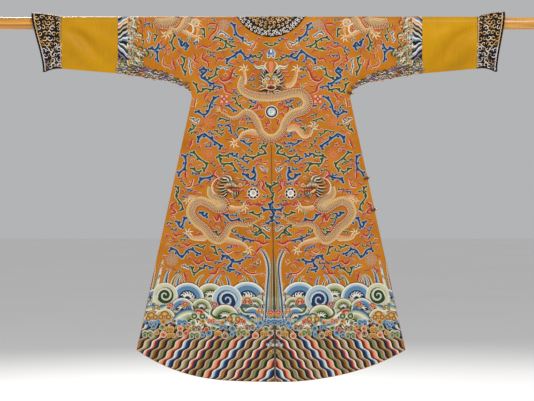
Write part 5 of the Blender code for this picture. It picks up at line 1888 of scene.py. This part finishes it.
def small_curls(work):
    """Curls and twin heads along the top of the stripes, each family in turn."""
    for row, (depth, radius, pitch) in enumerate(CURL_ROWS):
        for step in range(int(50 / pitch) + 1):
            out = 1.4 + (step + 0.5 * (row % 2)) * pitch + 0.35 * math.sin(step * 2.3 + row)
            if out > 100 * side_x(depth * CM) - 1.0:
                continue
            place = (out, depth + 0.55 * math.sin(step * 1.7 + row * 2.1))
            family = CURL_FAMILIES[(step * 5 + row * 4) % len(CURL_FAMILIES)]
            size = radius * (1 + 0.18 * math.sin(step * 3.1 + row))
            if (step + row) % 3 == 0:
                twin_head(work, place, size, family)
            else:
                comma(work, place, size, family, 40 + 75 * (step % 4), 1 if step % 2 else -1)


def mountain(work):
    """The rock at the middle seam: a horn on each half that runs down into a fluted shaft."""
    horn = [(5.2, 90.0), (3.4, 92.6), (2.2, 96.0), (2.0, 100.0), (2.5, 105.0), (3.0, 111.0), (3.4, 118.0)]
    names = ("white", "azure", "navy", "slate", "sage")
    line = work.ribbon(horn, [0.2, 0.62, 0.68, 0.66, 0.66, 0.7, 0.74], names, (0.1, 0.02), 6)
    for offset in (0.0088, -0.0088):
        bead_row(work, line[3:] + normals(line)[3:] * offset, 0.0019, 0.0062)
    with work.raised():
        for out, top, width, names in FLUTES:
            points = [(out, top), (out + 0.12, top + 6), (out + 0.26, 119.4)]
            work.ribbon(points, [width * 0.4, width, width], names, (0.2, 0.02), 6)
    with work.raised(LAYER * 2):
        for depth in (104.4, 108.4, 112.2):
            comma(work, (3.9, depth), 0.55, "gold", 60, 1)
        scroll_head(work, (1.5, 115.6), 1.35, "red", 0, "rose")
        scroll_head(work, (2.7, 119.0), 1.55, "blue", 0, "blue")


def side_rock(work):
    """Rocks that come round the side seam, with beads up their edges."""
    width = [1.5, 1.2, 1.0, 0.7, 0.3]
    for shift, top, names in (
        (0.0, 94.6, ("white", "sage", "celadon", "slate", "gold")),
        (2.4, 91.0, ("navy", "azure", "white", "moss", "black")),
    ):
        points = [(48.4, 117.0), (46.8, 111.0), (45.2, 105.4), (43.8, 100.0), (42.4, top)]
        line = work.ribbon([(out + shift, depth) for out, depth in points], width, names, (0.05, 0.3), 7)
        half = spread(width, len(line)) * CM
        bead_row(work, line - normals(line) * (half + 0.001)[:, None], 0.0024, 0.0064)
    for depth, family in ((107.6, "gold"), (112.4, "green"), (101.4, "blue"), (97.2, "red")):
        scroll_head(work, (side_x(depth * CM) / CM - 2.4, depth), 1.0, family, 20, "gold")


def middle_base(work):
    """The small clouds under the rock, at the top of the inverted stripes."""
    scroll_head(work, (1.6, 127.6), 1.3, "blue", 0, "white")
    scroll_head(work, (1.4, 130.6), 0.9, "gold", 0, "gold")


# ---------------------------------------------------------------- cuffs, neck and sleeve ends

# Stripes by the sleeve's seam, from the fold down: (thread, width)
SLEEVE_STRIPES = (
    ("black", 1.1), ("tan", 0.9), ("pink", 0.8), ("white", 0.5), ("black", 1.2), ("azure", 0.9),
    ("white", 0.6), ("salmon", 0.7), ("sage", 0.8), ("brown", 0.9), ("beige", 0.8), ("black", 1.1),
    ("sage", 0.9), ("navy", 1.2), ("white", 0.6), ("azure", 0.7), ("black", 1.3), ("white", 0.7),
    ("leaf", 0.6), ("navy", 0.9), ("white", 0.6), ("lilac", 0.8), ("black", 1.1), ("azure", 0.7),
    ("brown", 0.7),
)

# Streaks of rock and surf: threads from one edge of a streak to the other
ROCK_SHADES = (
    ("brown", "gold", "cream"), ("pine", "moss", "celadon"), ("black", "celadon", "white"),
    ("navy", "sage", "white"), ("umber", "tan", "pale"), ("black", "slate", "sage"),
    ("black", "ochre", "straw"), ("crimson", "salmon", "cream"),
)
SURF_SHADES = (
    ("lilac", "black", "pale"), ("black", "umber", "pink"), ("pine", "moss", "pale"),
    ("black", "leaf", "sage"), ("violet", "black", "lilac"), ("brown", "tan", "umber"),
    ("slate", "black", "white"), ("black", "tan", "beige"),
)

# Rows of surf: (centimetres above the underside, how near the armpit it comes, as a share)
SURF_ROWS = ((5.6, 0.52), (4.7, 0.42), (3.8, 0.30), (2.9, 0.20), (2.0, 0.12), (1.2, 0.04), (0.5, 0.015))

CUFF_ROWS, CUFF_COLUMNS = 11, 5  # of scrolls
CUFF_SURF_FROM = 0.62  # the share of the way down where the cuff's scrolls turn pale
NECK_BORDER = 0.024  # the width of the neck band's pale border
NECK_SLIT_ROOM = 0.05  # radians

# What the scrolls take their families from, on the cuffs and on the neck band
CUFF_GOLDS = ("cream", "white", "gold", "grey", "cream")
CUFF_PALES = ("white", "lilac", "white", "dusk")
NECK_GOLDS = ("cream", "gold", "cream", "gold", "grey")


def sleeve_end(work):
    """The border by the sleeve's seam: slanting stripes, rocks, and waves along the underside."""
    seam = 100 * sleeve_x(work.mirror, SLEEVE_SEAM_SHARE) - 0.15
    width = 4.3
    out = np.linspace(seam - width, seam, 10)
    foot = 100 * underarm_depth(SLEEVE_SEAM_SHARE) - 0.2
    bend = 9.5  # where the stripes turn

    def slant(top):
        steep = np.interp(top, (bend - 2, bend + 3), (0.75, -1.0))
        return top + steep * (out - seam + width / 2) + 0.2 * np.sin(out * 2.6)

    top, step = -4.0, 0
    while top < foot + 4:
        name, pitch = SLEEVE_STRIPES[step % len(SLEEVE_STRIPES)]
        lines = [np.clip(slant(top + part * pitch), 0.0, foot) for part in (0, 0.5, 1)]
        grid = np.stack(lines, axis=1)
        if (grid[:, 2] - grid[:, 0]).max() > 0.15:
            wide = np.stack([out] * 3, axis=1) * CM
            work.patch(wide, flat_from_depth(grid * CM), [LOW, LOW + CROWN, LOW], (name, name))
        top += pitch
        step += 1
    rocks(work, seam - width)
    surf(work, seam)


def streak(work, dice, place, length, degrees, shades, wide=(0.42, 0.62)):
    """A short curved streak, and a curl at its end."""
    ahead = heading(degrees) * length
    aside = np.array([ahead[1], -ahead[0]]) * dice.choice((-0.30, 0.30))
    points = [place - ahead / 2, place + aside, place + ahead / 2]
    work.lift += LAYER * 0.12
    work.ribbon(points, dice.uniform(*wide), shades, (0.3, 0.2), 4)
    if dice.random() < 0.45:
        work.spiral(points[2], 0.62, dice.choice((-1.0, 1.0)), 0.2, shades[1:], degrees, 0.15)


def rocks(work, inner):
    """Rocks that rise from the surf beside the stripes."""
    dice = random.Random(17)
    start = work.lift
    for row in range(21):
        depth = 0.9 + row * 0.86
        spread = 3.2 + 1.5 * math.sin(row * 0.9) + max(0, row - 11) * 0.42
        across = 0.2
        while across < spread:
            place = np.array([inner - across, depth + dice.uniform(-0.3, 0.3)])
            shades = ROCK_SHADES[dice.randrange(len(ROCK_SHADES))]
            streak(work, dice, place, dice.uniform(1.3, 2.2), dice.uniform(15, 75), shades)
            across += dice.uniform(0.75, 1.15)
    work.lift = start


def surf(work, seam):
    """Curling waves along the sleeve's underside, deeper towards the seam."""
    dice = random.Random(23)
    start = work.lift
    root = 100 * ARMPIT_HALF_WIDTH
    reach = 100 * SLEEVE_REACH[work.mirror][0] - root
    for rise, stop in SURF_ROWS:
        place = seam - 0.6
        while place > root + stop * reach:
            share = (place - root) / reach
            depth = 100 * underarm_depth(share) - rise + dice.uniform(-0.2, 0.2)
            shades = SURF_SHADES[dice.randrange(len(SURF_SHADES))]
            lean = dice.choice((-12, 8, 20, 160)) + dice.uniform(-15, 15)
            streak(work, dice, np.array([place, depth]), dice.uniform(1.3, 2.3), lean, shades, (0.32, 0.52))
            place -= dice.uniform(0.9, 1.4)
    work.lift = start


def cuff_place(side, share, down):
    """A point of the cuff's flat cloth: share from its seam to its mouth, down from fold to underside."""
    seam = SLEEVE_REACH[side][0]
    mouth = cuff_mouth(side, down) - CUFF_BINDING
    return seam + share * (mouth - seam), down * flat_from_depth(cuff_bottom(side, share))


def cuff_work(work):
    """Close scrolls over the dark cuff: gold above, and pale surf below. Bands run along both its edges."""
    side = work.mirror
    dice = random.Random(7)
    for row in range(CUFF_ROWS):
        for column in range(CUFF_COLUMNS):
            share = (column + 0.5 + 0.24 * (row % 2)) / (CUFF_COLUMNS + 0.3) + dice.uniform(-0.02, 0.02)
            down = (row + 0.55) / (CUFF_ROWS + 0.2) + dice.uniform(-0.01, 0.01)
            out, along = cuff_place(side, min(share, 0.9), down)
            family = dice.choice(CUFF_GOLDS if down < CUFF_SURF_FROM else CUFF_PALES)
            centre = (out / CM, depth_from_flat(along) / CM)
            start, hand = dice.uniform(0, 360), dice.choice((1, -1))
            radius = dice.uniform(0.85, 1.10)
            work.spiral(centre, radius, hand * 0.95, radius * 0.22, FAMILY[family][:2], start, 0.22)
    for share, low, high, count, half, sway, names in (
        (0.965, 0.02, 0.60, 34, 0.0022, 0.0012, ("cream", "gold")),
        (0.965, 0.60, 0.985, 34, 0.0022, 0.0012, ("white", "lilac")),
        (0.035, 0.02, 0.98, 30, 0.0020, 0.0, ("pale", "tan")),
    ):
        line = np.array([cuff_place(side, share, down) for down in np.linspace(low, high, count)])
        line[:, 0] += sway * np.sin(np.arange(count) * 1.9)
        work.band(line, half, (-1, 0, 1), names)


def small_scroll(work, place, reach, angle, inner, widths, family):
    """A thin scroll that winds in through these angles. widths are half widths, from its tip to its heart."""
    count = len(angle)
    wind = reach * np.linspace(1, inner, count)
    line = place + wind[:, None] * np.stack([np.cos(angle), -np.sin(angle)], axis=1)
    half = np.interp(np.arange(count), (0, 2, count - 1), widths)
    work.band(line, half, (-1, 0, 1), FAMILY[family][:2])


# Rings of curls on the neck band: (radius, how many)
NECK_ROWS = (
    (NECK_RADIUS + 0.0080, 24),
    (NECK_RADIUS + 0.0220, 29),
    (NECK_RADIUS + 0.0365, 35),
    (NECK_RADIUS + 0.0510, 40),
    (NECK_BAND_RADIUS - 0.0215, 52),
    (NECK_BAND_RADIUS - 0.0090, 60),
)


def neck_work(work):
    """The neck band: scrolls on its dark ground inside a border of pale ones."""
    dice = random.Random(11)
    for radius, count in NECK_ROWS:
        border = radius > NECK_BAND_RADIUS - NECK_BORDER
        turns = np.linspace(0, 2 * math.pi, count, endpoint=False) + dice.uniform(0, 0.2)
        gap = np.abs((turns - BAND_SLIT_ANGLE + math.pi) % (2 * math.pi) - math.pi)
        for turn in turns[gap > NECK_SLIT_ROOM]:
            place = np.array([0.0, NECK_CENTRE]) + radius * np.array([np.cos(turn), np.sin(turn)])
            family = dice.choice(("white", "lilac", "white") if border else NECK_GOLDS)
            start, hand = dice.uniform(0, 360), dice.choice((1, -1))
            reach = dice.uniform(0.62, 0.76) if border else dice.uniform(0.70, 0.88)
            angle = math.radians(start) + hand * np.linspace(0, 6.4, 13)
            small_scroll(work, place, reach * CM, angle, 0.18, (0.0004, 0.0021, 0.0010), family)


def band_work(work):
    """The same scrolls down the overlap's dark band."""
    dice = random.Random(5)
    line = rounded(OVERLAP_EDGE, 12)
    length = run_length(line)
    for offset, first in ((0.012, 0.162), (0.026, 0.168), (0.036, 0.160)):
        for mark in np.arange(first, length[-1] - 0.030, 0.0165):
            place = at_marks(mark, length, line) + at_marks(mark, length, normals(line)) * offset
            off_edge = place[0] > side_x(depth_from_flat(place[1])) - 0.012
            if off_edge or np.hypot(place[0], place[1] - NECK_CENTRE) < NECK_BAND_RADIUS + 0.009:
                continue
            family = dice.choice(("cream", "gold", "grey", "white"))
            start, hand = dice.uniform(0, 6), dice.choice((1, -1))
            angle = start + hand * np.linspace(0, 6.2, 12)
            small_scroll(work, place, 0.0068, angle, 0.2, (0.0004, 0.0022, 0.0011), family)


# ---------------------------------------------------------------- stage

VIEW_WIDTH = 2.0826  # of the picture, at the robe
VIEW_CENTRE = Vector((-0.0156, 0.0, -0.690))
CAMERA_DISTANCE = 6.5
FLOOR_BELOW = 0.36  # the hem
FLOOR_REACH = 40.0


def plain(name, colour):
    nodes = Nodes(name)
    shade = nodes.noise(nodes.own_space(), 0.8)
    return nodes.surface({"Base Color": nodes.multiply((*colour, 1), shade, 0.97, 1.03), "Roughness": 0.9})


def area_light(name, place, aim, size, power):
    light = bpy.data.lights.new(name, "AREA")
    light.shape = "RECTANGLE"
    light.size, light.size_y = size, size
    light.energy = power
    lamp = add_object(name, light)
    lamp.location = place
    lamp.rotation_euler = (Vector(aim) - Vector(place)).to_track_quat("-Z", "Y").to_euler()


def studio():
    floor_z = cad_box[0][2] - FLOOR_BELOW
    corners = ((-1, -1), (1, -1), (1, 1), (-1, 1))
    points = [(x * FLOOR_REACH, y * FLOOR_REACH, floor_z) for x, y in corners]
    mesh = new_mesh("floor", points, [(0, 1, 2, 3)])
    add_object("floor", mesh, plain("pale_floor", (0.94, 0.93, 0.91)))
    world = bpy.data.worlds.new("studio")
    bpy.context.scene.world = world
    world.use_nodes = True
    background = world.node_tree.nodes["Background"]
    background.inputs["Color"].default_value = (0.90, 0.91, 0.93, 1)
    background.inputs["Strength"].default_value = 0.50
    area_light("key", (0.9, -3.2, 2.5), (0, 0, -0.6), 1.5, 116)
    area_light("fill", (-3.4, -3.4, 0.6), (0, 0, -0.7), 2.4, 32)
    area_light("back", (-0.9, 3.4, 1.7), (0, 0, -0.6), 1.5, 116)
    area_light("back_fill", (3.4, 3.4, 0.6), (0, 0, -0.7), 2.4, 32)


def camera():
    data = bpy.data.cameras.new("camera")
    data.sensor_width = 36
    data.lens = data.sensor_width * CAMERA_DISTANCE / VIEW_WIDTH
    data.clip_end = 200
    viewer = add_object("camera", data)
    viewer.location = VIEW_CENTRE + Vector((0, -CAMERA_DISTANCE, 0))
    viewer.rotation_euler = (math.pi / 2, 0, 0)
    bpy.context.scene.camera = viewer


# ---------------------------------------------------------------- the robe

EDGE_PIPING_RADIUS = 0.0011


def on_both_halves(work, *drawings):
    for mirror in (1, -1):
        work.mirror = mirror
        for drawing in drawings:
            drawing(work)
    work.mirror = 1


def half_work(face, mirror, word, others):
    """The stitching of one half of one face, but for the dragons, which are in others."""
    work = Needlework(f"needlework_{word}", face, SLIT_ROOM, mirror)
    for part in (field, stripes, painted_slit_shade, waves, mountain, side_rock, middle_base):
        part(work)
    for family, out, depth, height, lean in SPRAYS:
        foam(work, (out, depth), height, lean, family)
    sleeve_end(work)
    wisps(work, others)
    return work.make()


def dragon_work(face, word):
    work = Needlework(f"dragons_{word}", face)
    main_dragon(work)
    pearl(work, (0.2, 37.2), 2.0, wheel=False)
    pearl_flames(work, (0.2, 37.2), 2.0, (150, 95, 40, -15, -60, 205, 250))
    if face < 0:
        jewel(work)
    for family, size, points in MIDDLE_CLOUDS:
        cloud(work, family, size, points)
    on_both_halves(work, side_dragon, side_pearl, shoulder_dragon)
    return work


def side_pearl(work):
    pearl(work, (7.3, 68.9), 1.9, wheel=True)
    pearl_flames(work, (7.3, 68.9), 1.9, (120, 60, 10, -120, -60), 0.36)


def jewel(work):
    """The jewel above the dragon's head."""
    names = ("sky", "azure", "white", "blue", "sky")
    work.ribbon([(0, 12.6), (0, 14.2), (0, 15.4)], [0.9, 2.0, 2.1], names, (0.3, 0.3))
    with work.raised():
        for place in ((0, 14.6), (-0.9, 15.6), (0.9, 15.6)):
            work.discs([place], 1, (0.75, 0.5, 0.2), ("white", "azure", "navy"), sides=9)


def edge_piping(side, word):
    """A thin pale cord down the closed edge, from the yellow sleeve's seam to the hem."""
    line = np.array(CLOSED_EDGES[side][1:-1])
    line = rounded(line[line[:, 0] <= sleeve_x(side, SLEEVE_SEAM_SHARE) + 1e-4], 6)
    s = flat_from_depth(line[:, 1])
    front, back = (hang(line[:, 0] * side, face * s, 0.0) for face in (1, -1))
    piping = round_cord(f"edge_piping_{word}", (front + back) / 2, EDGE_PIPING_RADIUS, CREAM_SILK)
    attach(piping, "root")
    return piping


def declare(cloth):
    """Reads each sheet's flat map, but for the overlap band's, and keeps nothing of it."""
    for node, piece in cloth.items():
        if node == "overlap_band":
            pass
        else:
            map_points = np.empty(len(piece.data.loops) * 2)
            piece.data.uv_layers[CUT_MAP].data.foreach_get("uv", map_points)


def keep_nodes():
    """The rod, buttons and their cords keep their shapes, and get their materials."""
    wood, brass, cord = pole_wood(), gilt(), cord_silk()
    looks = {"rod": wood, "button": brass, "loop": cord, "stem": cord}
    for name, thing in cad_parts.items():
        kind = name.split("_")[0]
        if kind in looks:
            thing.data.materials.clear()
            thing.data.materials.append(looks[kind])


def main():
    cloth = robe_cloth()
    for node, piece in cloth.items():
        stand_in(piece, node)
    pieces = {"body_left": [], "body_right": []}
    for side_word, face in FACES.items():
        dragons = dragon_work(face, side_word)
        for word, mirror in SIDES.items():
            pieces["body_" + word].append(half_work(face, mirror, f"{side_word}_{word}", [dragons]))
        pieces["body_right"].append(dragons.make())
    for word, side in SIDES.items():
        works = []
        for side_word, face in FACES.items():
            work = Needlework(f"cuff_work_{word}_{side_word}", face, mirror=side)
            cuff_work(work)
            works.append(work.make())
        pieces[f"cuff_{word}"] = works
        pieces[f"body_{word}"].append(edge_piping(side, word))
    for node, name, stitch in (
        ("neck_band", "neck_work", neck_work),
        ("overlap_band", "overlap_band_work", band_work),
    ):
        work = Needlework(name, 1)
        stitch(work)
        pieces[node] = [work.make()]
    turns = np.linspace(0, 2 * math.pi, 96, endpoint=False)
    reach = NECK_RADIUS - NECK_PIPING_INSET
    ring = hang(reach * np.cos(turns), NECK_CENTRE + reach * np.sin(turns), 0.0)
    piping = round_cord("neck_edge_piping", ring, NECK_PIPING_RADIUS, DARK, closed=True)
    stand_in(piping, "neck_piping")
    pieces["body_left"].append(piping)
    declare(cloth)
    keep_nodes()


main()
studio()
camera()
bpy.context.scene.view_settings.view_transform = "Standard"
